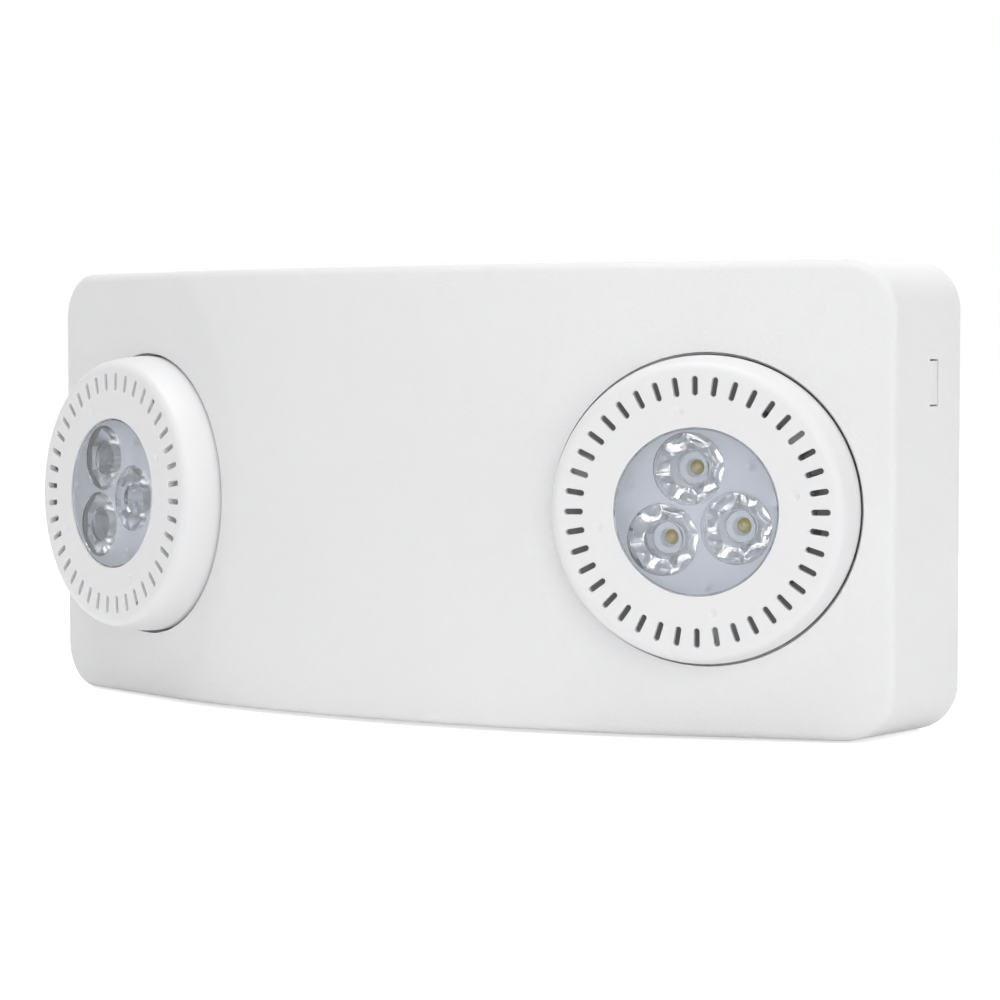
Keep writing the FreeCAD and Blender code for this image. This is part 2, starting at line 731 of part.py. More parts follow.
def battery_pack():
    """Three cells in a shrunk sleeve, standing upright side by side."""
    z0 = battery_centre() - CELL_LENGTH / 2
    y = -(PLATE_THICKNESS + BATTERY_GAP + CELL_RADIUS)
    cells = []
    for k in range(CELL_COUNT):
        x = (2 * k - CELL_COUNT + 1) * CELL_RADIUS
        cells.append(Part.makeCylinder(CELL_RADIUS, CELL_LENGTH, Vector(x, y, z0)))
        cells.append(Part.makeCylinder(CELL_CAP_RADIUS, CELL_LENGTH + 2 * CELL_CAP_HEIGHT,
                                       Vector(x, y, z0 - CELL_CAP_HEIGHT)))
    reach = (CELL_COUNT - 1) * CELL_RADIUS
    sleeve = box(-reach, reach, y - SLEEVE_HALF_DEPTH, y + SLEEVE_HALF_DEPTH, z0, z0 + CELL_LENGTH)
    return one_solid(sleeve.fuse(cells))


def strap_block(gap):
    """Space round the cells, with its two front edges rounded as the cells are."""
    half = CELL_COUNT * CELL_RADIUS + gap
    front = PLATE_THICKNESS + BATTERY_GAP + 2 * CELL_RADIUS + gap
    z0 = battery_centre() - STRAP_WIDTH / 2
    block = box(-half, half, -front, -BOARD_BACK, z0, z0 + STRAP_WIDTH)
    edges = [e for e in block.Edges if e.BoundBox.ZLength > STRAP_WIDTH / 2
             and e.BoundBox.YMax < -BOARD_BACK - gap]
    return block.makeFillet(CELL_RADIUS + gap, edges)


def battery_strap():
    """Bent strip over the cells, with a foot on each post."""
    z0 = battery_centre() - STRAP_WIDTH / 2
    strip = strap_block(BATTERY_GAP + STRAP_THICKNESS).cut(strap_block(BATTERY_GAP))
    inner = CELL_COUNT * CELL_RADIUS + BATTERY_GAP
    outer = CELL_COUNT * CELL_RADIUS + STRAP_FOOT + STRAP_FOOT_MARGIN
    foot = BOARD_BACK + STRAP_THICKNESS
    feet = [box(inner, outer, -foot, -BOARD_BACK, z0, z0 + STRAP_WIDTH),
            box(-outer, -inner, -foot, -BOARD_BACK, z0, z0 + STRAP_WIDTH)]
    holes = [forward_rod(SCREW_RADIUS + SCREW_CLEARANCE, x, z, BOARD_BACK - PAST, foot + PAST)
             for x, z in strap_posts()]
    return one_solid(strip.fuse(feet).cut(holes))


def pan_screw(length):
    """Screw along local Z: the head lies above zero, the shank goes down."""
    shank = SCREW_RADIUS - SCREW_FIT
    crown = SCREW_HEAD_RADIUS - SCREW_HEAD_BEVEL
    return one_solid(turned([
        (0, -length), (shank, -length), (shank, 0), (SCREW_HEAD_RADIUS, 0),
        (SCREW_HEAD_RADIUS, SCREW_HEAD_HEIGHT / 2), (crown, SCREW_HEAD_HEIGHT),
        (0, SCREW_HEAD_HEIGHT),
    ]))


def front_screws(points, depth, length):
    """Screws driven towards the wall at points (x, z)."""
    screws = []
    turn = Rotation(Vector(1, 0, 0), 90)
    for x, z in points:
        screws.append(placed(pan_screw(length), Placement(Vector(x, -depth, z), turn)))
    return screws


# Control board

def control_board():
    board = rounded_box(-BOARD_HALF_WIDTH, BOARD_HALF_WIDTH, -BOARD_FRONT, -BOARD_BACK,
                        BOARD_BOTTOM, BOARD_TOP, BOARD_CORNER)
    holes = [forward_rod(SCREW_RADIUS + SCREW_CLEARANCE, x, z, BOARD_BACK - PAST, BOARD_FRONT + PAST)
             for x, z in board_posts()]
    return one_solid(board.cut(holes))


def transformer_core():
    """Laminated core: two outer legs and a middle leg twice as wide, with two windows."""
    x, z = -CORE_OFFSET, BOARD_MIDDLE + CORE_RISE
    back = BOARD_FRONT + COIL_LIFT + (COIL_STACK - CORE_STACK) / 2
    front = back + CORE_STACK
    w, h = CORE_WIDTH / 2, CORE_HEIGHT / 2
    leg = CORE_WIDTH / 6
    body = box(x - w, x + w, -front, -back, z - h, z + h)
    cuts = []
    for x0 in (x - 2 * leg, x + leg):
        cuts.append(box(x0, x0 + leg, -front - PAST, -back + PAST, z - h + leg, z + h - leg))
    return one_solid(body.cut(cuts))


def transformer_coil():
    """Bobbin and winding round the core's middle leg."""
    x, z = -CORE_OFFSET, BOARD_MIDDLE + CORE_RISE
    back = BOARD_FRONT + COIL_LIFT
    leg = CORE_WIDTH / 6
    w = 2 * leg - COIL_GAP
    h = CORE_HEIGHT / 2 - leg - COIL_GAP
    winding = rounded_box(x - w, x + w, -back - COIL_STACK, -back, z - h, z + h, COIL_CORNER)
    bore = leg + COIL_BORE_GAP
    bore_back = back + (COIL_STACK - CORE_STACK) / 2 - COIL_BORE_GAP
    bore_front = bore_back + CORE_STACK + 2 * COIL_BORE_GAP
    hollow = box(x - bore, x + bore, -bore_front, -bore_back, z - h - PAST, z + h + PAST)
    return one_solid(winding.cut(hollow))


def capacitors():
    """Two round cans, each with a crimped groove near its foot and a bevelled top."""
    r, tall = CAPACITOR_RADIUS, CAPACITOR_HEIGHT
    can = turned([
        (0, 0),
        (r, 0),
        (r, CRIMP_HEIGHT - CRIMP_WIDTH / 2),
        (r - CRIMP_DEPTH, CRIMP_HEIGHT),
        (r, CRIMP_HEIGHT + CRIMP_WIDTH / 2),
        (r, tall - CRIMP_DEPTH),
        (r - CRIMP_DEPTH, tall),
        (0, tall),
    ])
    cans = []
    for k in range(2):
        x = CAPACITOR_OFFSET + k * (2 * r + CAPACITOR_GAP)
        spot = Vector(x, -BOARD_FRONT, BOARD_MIDDLE - CAPACITOR_DROP)
        cans.append(placed(can, Placement(spot, Rotation(Vector(1, 0, 0), 90))))
    return cans


def terminal_block():
    """Three-way mains terminal with screw wells in front and wire holes on top."""
    x0 = BOARD_HALF_WIDTH - TERMINAL_WIDTH - TERMINAL_SIDE_MARGIN
    z1 = BOARD_TOP - TERMINAL_TOP_MARGIN
    z0 = z1 - TERMINAL_HEIGHT
    front = BOARD_FRONT + TERMINAL_DEPTH
    block = box(x0, x0 + TERMINAL_WIDTH, -front, -BOARD_FRONT, z0, z1)
    cuts = []
    pitch = TERMINAL_WIDTH / TERMINAL_POLES
    half = TERMINAL_WIRE_HOLE / 2
    back = -BOARD_FRONT - TERMINAL_WIRE_BACK
    for k in range(TERMINAL_POLES):
        x = x0 + (k + 0.5) * pitch
        middle = (z0 + z1) / 2
        cuts.append(forward_rod(TERMINAL_WELL_RADIUS, x, middle, front - TERMINAL_WELL_DEPTH, front + PAST))
        cuts.append(box(x - half, x + half, back - TERMINAL_WIRE_HOLE, back, middle, z1 + PAST))
    return one_solid(block.cut(cuts))


def lead_socket(x, z):
    """Open-fronted socket on the control board."""
    front = BOARD_FRONT + SOCKET_DEPTH
    body = box(x, x + SOCKET_WIDTH, -front, -BOARD_FRONT, z, z + SOCKET_HEIGHT)
    well = box(x + SOCKET_WALL, x + SOCKET_WIDTH - SOCKET_WALL, -front - PAST, -BOARD_FRONT - SOCKET_FLOOR,
               z + SOCKET_WALL, z + SOCKET_HEIGHT - SOCKET_WALL)
    return one_solid(body.cut(well))


def lamp_sockets():
    """Sockets for the two lamps' leads at the top and for the battery's at the bottom."""
    left = -BOARD_HALF_WIDTH + SOCKET_MARGIN
    right = BOARD_HALF_WIDTH - SOCKET_MARGIN
    high = BOARD_TOP - SOCKET_HEIGHT - SOCKET_EDGE
    low = BOARD_BOTTOM + SOCKET_EDGE
    return [lead_socket(left, high), lead_socket(left + SOCKET_PITCH, high), lead_socket(right, low)]


# Test switch, button and status lamp

def test_switch():
    """Push switch at the board's lower edge, with a bore for its plunger."""
    half = SWITCH_SIZE / 2
    top = SWITCH_FLOOR + SWITCH_HEIGHT
    body = box(BUTTON_X - half, BUTTON_X + half, -BUTTON_DEPTH - half, -BUTTON_DEPTH + half,
               SWITCH_FLOOR, top)
    arm = half - SWITCH_LEG_INSET
    leg = box(BUTTON_X - arm, BUTTON_X + arm, -BUTTON_DEPTH, -BOARD_FRONT,
              SWITCH_FLOOR + SWITCH_LEG_RISE, top)
    deep = PLUNGER_SINK + BUTTON_TRAVEL + SEAT_GAP
    bore = Part.makeCylinder(PLUNGER_RADIUS + PLUNGER_PLAY, deep + PAST,
                             Vector(BUTTON_X, -BUTTON_DEPTH, SWITCH_FLOOR - PAST))
    return one_solid(body.fuse(leg).cut(bore))


def test_plunger():
    return Part.makeCylinder(PLUNGER_RADIUS, PLUNGER_REACH + PLUNGER_SINK,
                             Vector(BUTTON_X, -BUTTON_DEPTH, PLUNGER_BOTTOM))


def flange_seat(radius, gap):
    """Height at which a flange of that radius clears the inner face of the bottom wall."""
    return gap - height_half(BUTTON_DEPTH - radius, COVER_WALL)


def test_button():
    """Cap with a shallow dish in the underside, a flange inside the wall and a stem."""
    outside = -height_half(BUTTON_DEPTH, 0.0) + BUTTON_RECESS
    flange = BUTTON_RADIUS + BUTTON_FLANGE
    inside = flange_seat(flange, BUTTON_GAP)
    stem_top = PLUNGER_BOTTOM - STEM_GAP
    button = turned([
        (0, outside + BUTTON_DISH_DEPTH),
        (BUTTON_DISH_RADIUS / 2, outside + BUTTON_DISH_DEPTH * 0.75, BUTTON_DISH_RADIUS, outside),
        (BUTTON_RADIUS - BUTTON_EDGE, outside),
        (BUTTON_RADIUS, outside + BUTTON_EDGE),
        (BUTTON_RADIUS, inside),
        (flange, inside),
        (flange, inside + BUTTON_FLANGE_DEPTH),
        (STEM_RADIUS, inside + BUTTON_FLANGE_DEPTH),
        (STEM_RADIUS, stem_top),
        (0, stem_top),
    ])
    button.translate(Vector(BUTTON_X, -BUTTON_DEPTH, 0))
    return one_solid(button)


def status_lens():
    """Light pipe beside the button, held by its flange inside the wall."""
    outside = -height_half(BUTTON_DEPTH, 0.0) + STATUS_RECESS
    r = STATUS_RADIUS
    flange = r + STATUS_FLANGE
    inside = flange_seat(flange, STATUS_RECESS)
    top = SWITCH_FLOOR - STATUS_LAMP_GAP
    pipe = turned([
        (0, outside),
        (r - BUTTON_EDGE, outside),
        (r, outside + BUTTON_EDGE),
        (r, inside),
        (flange, inside),
        (flange, inside + STATUS_FLANGE),
        (r, inside + STATUS_FLANGE),
        (r, top),
        (0, top),
    ])
    pipe.translate(Vector(STATUS_X, -BUTTON_DEPTH, 0))
    return one_solid(pipe)


def status_lamp():
    """Small round-nosed lamp on a foot at the board's lower edge."""
    r = STATUS_LAMP_RADIUS
    nose = SWITCH_FLOOR + STATUS_LAMP_LIFT
    top = nose + STATUS_LAMP_HEIGHT
    slant = r * math.sqrt(0.5)
    lamp = turned([(0, nose), (slant, nose + r - slant, r, nose + r), (r, top), (0, top)])
    lamp.translate(Vector(STATUS_X, -BUTTON_DEPTH, 0))
    foot = box(STATUS_X - r, STATUS_X + r, -BUTTON_DEPTH, -BOARD_FRONT, top - STATUS_FOOT_HEIGHT, top)
    return one_solid(lamp.fuse(foot))


# Swivel ring and retaining ring

def swivel_ring():
    """Spherical seat with a journal, a flange and two tracks for the tilt screws."""
    front = -COVER_WALL - RING_SETBACK
    rear_height = on_sphere(SEAT_RADIUS, SWIVEL_REAR_ANGLE)[1]
    ring = turned([
        at_height(SEAT_RADIUS, front),
        (JOURNAL_RADIUS, front),
        (JOURNAL_RADIUS, -FLANGE_FRONT),
        (FLANGE_RADIUS, -FLANGE_FRONT),
        (FLANGE_RADIUS, -FLANGE_BACK),
        at_height(SWIVEL_RADIUS, -FLANGE_BACK),
        sphere_arc(SWIVEL_RADIUS, -FLANGE_BACK, rear_height),
        at_height(SEAT_RADIUS, rear_height),
        sphere_arc(SEAT_RADIUS, rear_height, front)[:2] + at_height(SEAT_RADIUS, front),
    ])
    return one_solid(ring.cut(track_cuts()))


def radial_rod(radius, start, end, degrees_back, sign):
    """Cylinder along a ray from the ball's centre, behind the equator, at local +X or -X."""
    angle = math.radians(degrees_back)
    ray = Vector(sign * math.cos(angle), 0, -math.sin(angle))
    return Part.makeCylinder(radius, end - start, ray * start, ray)


def track_cuts():
    """Two curved slots in the tilt plane."""
    inner, outer = SEAT_RADIUS - 2 * PAST, SWIVEL_RADIUS + 2 * PAST
    span = TILT_TRAVEL + TRACK_END_ROOM
    half = TRACK_WIDTH / 2
    cuts = []
    for sign in (-1, 1):
        for end in (-span, span):
            cuts.append(radial_rod(half, inner, outer, TRACK_ANGLE + end, sign))
        a0 = math.radians(TRACK_ANGLE - span)
        a1 = math.radians(TRACK_ANGLE + span)
        am = (a0 + a1) / 2

        def spot(radius, angle):
            return Vector(sign * radius * math.cos(angle), -half, -radius * math.sin(angle))

        edges = [
            Part.Arc(spot(inner, a0), spot(inner, am), spot(inner, a1)).toShape(),
            Part.LineSegment(spot(inner, a1), spot(outer, a1)).toShape(),
            Part.Arc(spot(outer, a1), spot(outer, am), spot(outer, a0)).toShape(),
            Part.LineSegment(spot(outer, a0), spot(inner, a0)).toShape(),
        ]
        cuts.append(Part.Face(Part.Wire(edges)).extrude(Vector(0, 2 * half, 0)))
    return cuts


def retainer():
    """Ring with four ears, screwed behind the swivel ring's flange."""
    ring = flat_rod(RETAINER_RADIUS, -RETAINER_BACK, -RETAINER_FRONT)
    ears = retainer_bosses(RETAINER_EAR_RADIUS, -RETAINER_BACK, -RETAINER_FRONT)
    cuts = [flat_rod(SWIVEL_RADIUS + PLAY, -RETAINER_BACK - PAST, 0)]
    cuts += retainer_bosses(SCREW_RADIUS + SCREW_CLEARANCE, -RETAINER_BACK - PAST, 0)
    return one_solid(ring.fuse(ears).cut(cuts))


def retainer_screws():
    screw = pan_screw(RETAINER_THICKNESS + RETAINER_SCREW_BITE)
    screw.rotate(Vector(0, 0, 0), Vector(1, 0, 0), 180)
    screw.translate(Vector(RETAINER_BOSS_CIRCLE, 0, -RETAINER_BACK))
    return around(screw, RETAINER_BOSS_COUNT, 180.0 / RETAINER_BOSS_COUNT)


# Lamp head

def vent_tool():
    """Round-ended slot through the lamp face, at local +Y."""
    half = VENT_WIDTH / 2
    low = VENT_INNER_RADIUS + half
    high = VENT_OUTER_RADIUS - half
    z0, z1 = INNER_FACE - PAST, FACE_HEIGHT + PAST
    ends = [flat_rod(half, z0, z1, 0, low), flat_rod(half, z0, z1, 0, high)]
    return box(-half, half, low, high, z0, z1).fuse(ends).removeSplitter()


def shell_bosses(radius, start, end):
    rod = flat_rod(radius, start, end, 0, SHELL_BOSS_CIRCLE)
    return around(rod, LENS_COUNT, 180.0 / LENS_COUNT)


def window_seat():
    """Low ring behind the face that centres the optic's flange."""
    inner = WINDOW_RADIUS + WINDOW_FLANGE + WINDOW_GAP
    tube = flat_rod(inner + WINDOW_SEAT_WALL, OPTIC_BACK, INNER_FACE + HEAD_WALL / 2)
    return tube.cut(flat_rod(inner, OPTIC_BACK - PAST, INNER_FACE + HEAD_WALL))


def dimples():
    """Round sunk dots in the lamp face, each cut by a larger ball."""
    ball = (DIMPLE_RADIUS ** 2 + DIMPLE_DEPTH ** 2) / (2 * DIMPLE_DEPTH)
    height = FACE_HEIGHT + ball - DIMPLE_DEPTH
    return around(Part.makeSphere(ball, Vector(0, DIMPLE_CIRCLE, height)), DIMPLE_COUNT)


def vent_mouths(shell):
    """The vents' edges in the lamp face."""
    edges = []
    for edge in shell.Edges:
        middle = edge.BoundBox.Center
        in_face = edge.BoundBox.ZMin > FACE_HEIGHT - PAST / 100
        if in_face and VENT_INNER_RADIUS < math.hypot(middle.x, middle.y) < VENT_OUTER_RADIUS:
            edges.append(edge)
    return edges


def lamp_shell():
    """Visible front of the head: ball flank, rounded rim, vented face and window."""
    inner = HEAD_INNER_RADIUS
    shell = turned([
        (WINDOW_RADIUS, FACE_HEIGHT),
        at_height(BALL_RADIUS, FACE_HEIGHT),
        sphere_arc(BALL_RADIUS, FACE_HEIGHT, -SEAM_DEPTH),
        at_height(inner, -SEAM_DEPTH),
        sphere_arc(inner, -SEAM_DEPTH, INNER_FACE),
        (WINDOW_RADIUS, INNER_FACE),
    ])
    rim = [e for e in shell.Edges if e.BoundBox.ZMin > FACE_HEIGHT - RIM_RADIUS / 2
           and e.BoundBox.XLength > VENT_OUTER_RADIUS + VENT_INNER_RADIUS]
    shell = shell.makeFillet(RIM_RADIUS, rim).Solids[0]
    room = Part.makeSphere(BALL_RADIUS - HEAD_WALL / 2)
    top = INNER_FACE + HEAD_WALL / 4
    bosses = [b.common(room) for b in shell_bosses(SHELL_BOSS_RADIUS, -SEAM_DEPTH, top)]
    pilots = shell_bosses(SCREW_RADIUS, -SEAM_DEPTH - PAST, SHELL_PILOT_TOP)
    cuts = around(vent_tool(), VENT_COUNT) + dimples() + pilots
    shell = one_solid(shell.fuse(bosses + [window_seat()]).cut(cuts))
    return shell.makeFillet(VENT_EDGE_RADIUS, vent_mouths(shell)).Solids[0]


def funnel():
    """Solid light funnel of one collimator."""
    foot = LENS_FOOT + LENS_FOOT_GAP
    waist = LENS_FOOT_RADIUS + (LENS_RADIUS - LENS_FOOT_RADIUS) * LENS_WAIST
    waist_height = foot + (OPTIC_BACK - foot) * LENS_WAIST_HEIGHT
    top = OPTIC_BACK + FLANGE_THICKNESS / 2
    return turned([
        (0, foot),
        (0, top),
        (LENS_RADIUS, top),
        (LENS_RADIUS, OPTIC_BACK),
        (waist, waist_height, LENS_FOOT_RADIUS, foot),
    ])


def funnel_well():
    """Round well in the front of a collimator, with a domed floor."""
    floor = OPTIC_FRONT - WELL_DEPTH
    dome = (WELL_RADIUS ** 2 + WELL_DOME ** 2) / (2 * WELL_DOME)
    middle = WELL_RADIUS / 2
    middle_height = floor - dome + math.sqrt(dome ** 2 - middle ** 2)
    return turned([
        (0, floor),
        (middle, middle_height, WELL_RADIUS, floor - WELL_DOME),
        (WELL_RADIUS, OPTIC_FRONT + PAST),
        (0, OPTIC_FRONT + PAST),
    ])


def chip_pocket():
    """Pocket in the foot of a collimator, over the chip."""
    foot = LENS_FOOT + LENS_FOOT_GAP
    return flat_rod(POCKET_RADIUS, foot - PAST, foot + POCKET_DEPTH)


def optic():
    """Window disc, flange, three collimators and three pegs, moulded as one piece."""
    disc = flat_rod(WINDOW_RADIUS - WINDOW_GAP, OPTIC_BACK, OPTIC_FRONT)
    flange = flat_rod(WINDOW_RADIUS + WINDOW_FLANGE, OPTIC_BACK, INNER_FACE)
    peg = flat_rod(PEG_RADIUS, LAMP_BOARD_FRONT, OPTIC_BACK + FLANGE_THICKNESS / 2, 0, PEG_CIRCLE)
    groups = []
    for part in (funnel(), funnel_well(), chip_pocket()):
        part.translate(Vector(0, LENS_CIRCLE, 0))
        groups.append(around(part, LENS_COUNT))
    funnels, wells, pockets = groups
    pegs = around(peg, LENS_COUNT, 180.0 / LENS_COUNT)
    return one_solid(disc.fuse([flange] + funnels + pegs).cut(wells + pockets))


def board_screw_holes(radius, back, front):
    return around(flat_rod(radius, back, front, 0, BOARD_SCREW_CIRCLE), 2, 90.0)


def lamp_board():
    """Round metal-backed board under the optic, notched for the assembly jig."""
    back, front = LAMP_BOARD_BACK - PAST, LAMP_BOARD_FRONT + PAST
    board = flat_rod(LAMP_BOARD_RADIUS, LAMP_BOARD_BACK, LAMP_BOARD_FRONT)
    notches = around(flat_rod(BOARD_NOTCH_RADIUS, back, front, 0, LAMP_BOARD_RADIUS), LENS_COUNT)
    holes = board_screw_holes(SCREW_RADIUS + SCREW_CLEARANCE, back, front)
    return one_solid(board.cut(notches + holes))


def lamp_chips():
    """One lamp chip with a small dome under each collimator."""
    half = CHIP_SIZE / 2
    z0 = LAMP_BOARD_FRONT
    base = box(-half, half, -half, half, z0, z0 + CHIP_HEIGHT)
    dome = Part.makeSphere(DOME_RADIUS, Vector(0, 0, z0 + CHIP_HEIGHT), Vector(0, 0, 1), 0, 90, 360)
    chip = one_solid(base.fuse(dome))
    chip.translate(Vector(0, LENS_CIRCLE, 0))
    return around(chip, LENS_COUNT)


def heat_sink():
    """Round plate with radial fins behind it."""
    plate = flat_rod(SINK_RADIUS, SINK_PLATE_BACK, LAMP_BOARD_BACK)
    core = flat_rod(SINK_CORE_RADIUS, SINK_BACK, SINK_PLATE_BACK)
    root = SINK_CORE_RADIUS - SINK_FIN_THICKNESS
    side = -SINK_FIN_THICKNESS / 2
    top = SINK_PLATE_BACK + SINK_PLATE / 2
    fin = face([
        Vector(root, side, SINK_BACK),
        Vector(SINK_RADIUS - SINK_FIN_CUT_BACK, side, SINK_BACK),
        Vector(SINK_RADIUS, side, SINK_BACK + SINK_FIN_CUT_HEIGHT),
        Vector(SINK_RADIUS, side, top),
        Vector(root, side, top),
    ]).extrude(Vector(0, SINK_FIN_THICKNESS, 0))
    fins = around(fin, SINK_FIN_COUNT, 180.0 / SINK_FIN_COUNT)
    room = shell_bosses(SHELL_BOSS_RADIUS + SCREW_CLEARANCE, SINK_BACK - PAST, LAMP_BOARD_BACK + PAST)
    holes = board_screw_holes(SCREW_RADIUS, SINK_BACK - PAST, LAMP_BOARD_BACK + PAST)
    return one_solid(plate.fuse([core] + fins).cut(room + holes))


def board_screws():
    """Two screws that clamp the lamp board to the heat sink."""
    screw = pan_screw(BOARD_THICKNESS + SINK_PLATE + BOARD_SCREW_BITE)
    screw.translate(Vector(0, BOARD_SCREW_CIRCLE, LAMP_BOARD_FRONT))
    return around(screw, 2, 90.0)


def bowl():
    """Rear shell of the ball, with a lip that enters the front shell."""
    inner = HEAD_INNER_RADIUS
    top = -SEAM_DEPTH - SEAM_GAP
    lip_top = LIP_HEIGHT - SEAM_DEPTH
    lip_outer = inner - LIP_GAP
    lip_inner = lip_outer - LIP_WALL
    root = top - LIP_ROOT
    flat = -BACK_FLAT_DEPTH
    return turned([
        at_height(BALL_RADIUS, top),
        sphere_arc(BALL_RADIUS, top, flat),
        (0, flat),
        (0, flat + HEAD_WALL),
        at_height(inner, flat + HEAD_WALL),
        sphere_arc(inner, flat + HEAD_WALL, root),
        (lip_inner, root),
        (lip_inner, lip_top),
        at_height(lip_outer, lip_top),
        sphere_arc(lip_outer, lip_top, top),
    ])


def lamp_back():
    """Bowl with screw wells, track bosses, two posts for the heat sink and a lead hole."""
    flat = -BACK_FLAT_DEPTH
    top = -SEAM_DEPTH - SEAM_GAP
    room = Part.makeSphere(BALL_RADIUS - HEAD_WALL / 2)
    added = [b.common(room) for b in shell_bosses(SHELL_BOSS_RADIUS, flat, top)]
    post = flat_rod(SINK_POST_RADIUS, flat + HEAD_WALL / 2, SINK_BACK - SEAM_GAP, 0, SINK_POST_CIRCLE)
    added += around(post, 2)
    cuts = shell_bosses(SHELL_BOSS_RADIUS + SCREW_CLEARANCE, top, LIP_HEIGHT)
    cuts += shell_bosses(SCREW_HEAD_RADIUS + SCREW_CLEARANCE, -BALL_RADIUS, SCREW_SEAT)
    cuts += shell_bosses(SCREW_RADIUS + SCREW_CLEARANCE, -BALL_RADIUS, 0)
    cuts.append(flat_rod(LEAD_HOLE_RADIUS, flat - PAST, flat + HEAD_WALL + PAST, LEAD_HOLE_OFFSET, 0))
    for sign in (-1, 1):
        deep = BALL_RADIUS - TRACK_BOSS_DEPTH
        added.append(radial_rod(TRACK_HEAD_RADIUS, deep, BALL_RADIUS - HEAD_WALL / 2, TRACK_ANGLE, sign))
        cuts.append(radial_rod(TRACK_SHANK_RADIUS, deep - PAST, BALL_RADIUS + PAST, TRACK_ANGLE, sign))
    return one_solid(bowl().fuse(added).cut(cuts))


def shell_screws():
    """Three screws from behind that hold the two shells together."""
    screw = pan_screw(-SEAM_DEPTH - SCREW_SEAT + SHELL_SCREW_BITE)
    screw.rotate(Vector(0, 0, 0), Vector(1, 0, 0), 180)
    screw.translate(Vector(0, SHELL_BOSS_CIRCLE, SCREW_SEAT))
    return around(screw, LENS_COUNT, 180.0 / LENS_COUNT)


def track_screws():
    """Shouldered screws that hold the ball and slide in the ring's tracks."""
    head_seat = SWIVEL_RADIUS + TRACK_HEAD_GAP
    stages = [
        (TRACK_SCREW_RADIUS, BALL_RADIUS + SCREW_FIT, head_seat + TRACK_HEAD_HEIGHT / 2),
        (TRACK_SHANK_RADIUS - SCREW_FIT, BALL_RADIUS - TRACK_SCREW_DEPTH, head_seat),
        (TRACK_HEAD_RADIUS, head_seat, head_seat + TRACK_HEAD_HEIGHT),
    ]
    screws = []
    for sign in (-1, 1):
        rods = [radial_rod(radius, start, end, TRACK_ANGLE, sign) for radius, start, end in stages]
        screws.append(one_solid(rods[0].fuse(rods[1:])))
    return screws


# Nodes

def build_nodes():
    nodes = {
        "front_cover": [front_cover()],
        "back_plate": [back_plate()],
        "battery_pack": [battery_pack()],
        "battery_strap": [battery_strap()],
        "strap_screws": front_screws(strap_posts(), BOARD_BACK + STRAP_THICKNESS, POST_SCREW_LENGTH),
        "control_board": [control_board()],
        "control_board_screws": front_screws(board_posts(), BOARD_FRONT, POST_SCREW_LENGTH),
        "transformer_core": [transformer_core()],
        "transformer_coil": [transformer_coil()],
        "capacitors": capacitors(),
        "terminal_block": [terminal_block()],
        "lamp_sockets": lamp_sockets(),
        "test_switch": [test_switch()],
        "test_plunger": [test_plunger()],
        "test_button": [test_button()],
        "status_lens": [status_lens()],
        "status_lamp": [status_lamp()],
    }
    fixed = {"retainer": [retainer()], "retainer_screws": retainer_screws()}
    turning = {"swivel_ring": [swivel_ring()]}
    tilting = {
        "lamp_shell": [lamp_shell()],
        "lamp_back": [lamp_back()],
        "optic": [optic()],
        "lamp_board": [lamp_board()],
        "lamp_chips": lamp_chips(),
        "heat_sink": [heat_sink()],
        "board_screws": board_screws(),
        "shell_screws": shell_screws(),
        "track_screws": track_screws(),
    }
    for side in ("left", "right"):
        for group, place in ((fixed, facet_place(side)), (turning, ring_place(side)),
                             (tilting, head_place(side))):
            for name, solids in group.items():
                nodes[side + "_" + name] = [placed(s, place) for s in solids]
    return nodes


def export(nodes):
    os.makedirs("parts", exist_ok=True)
    for name, solids in nodes.items():
        shape = solids[0] if len(solids) == 1 else Part.makeCompound(solids)
        shape.exportStep("parts/" + name + ".step")
        print(name, len(solids), "valid" if shape.isValid() else "INVALID", round(shape.Volume, 1))


export(build_nodes())
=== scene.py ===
# %% [markdown]
# # A twin-head emergency light
# The light hangs on a wall: a white moulded cover with a crowned front, and a ball-shaped lamp
# head in the angled facet at each end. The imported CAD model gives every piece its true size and
# place. This lesson dresses those pieces: it smooths the moulded shells, models the clear optics
# and the lamp chips by hand, and gives each surface a procedural finish.
# Loading comes first, because everything else is placed from the frame.

# %% Load the frame
import json
import math

import bpy
from mathutils import Matrix, Vector

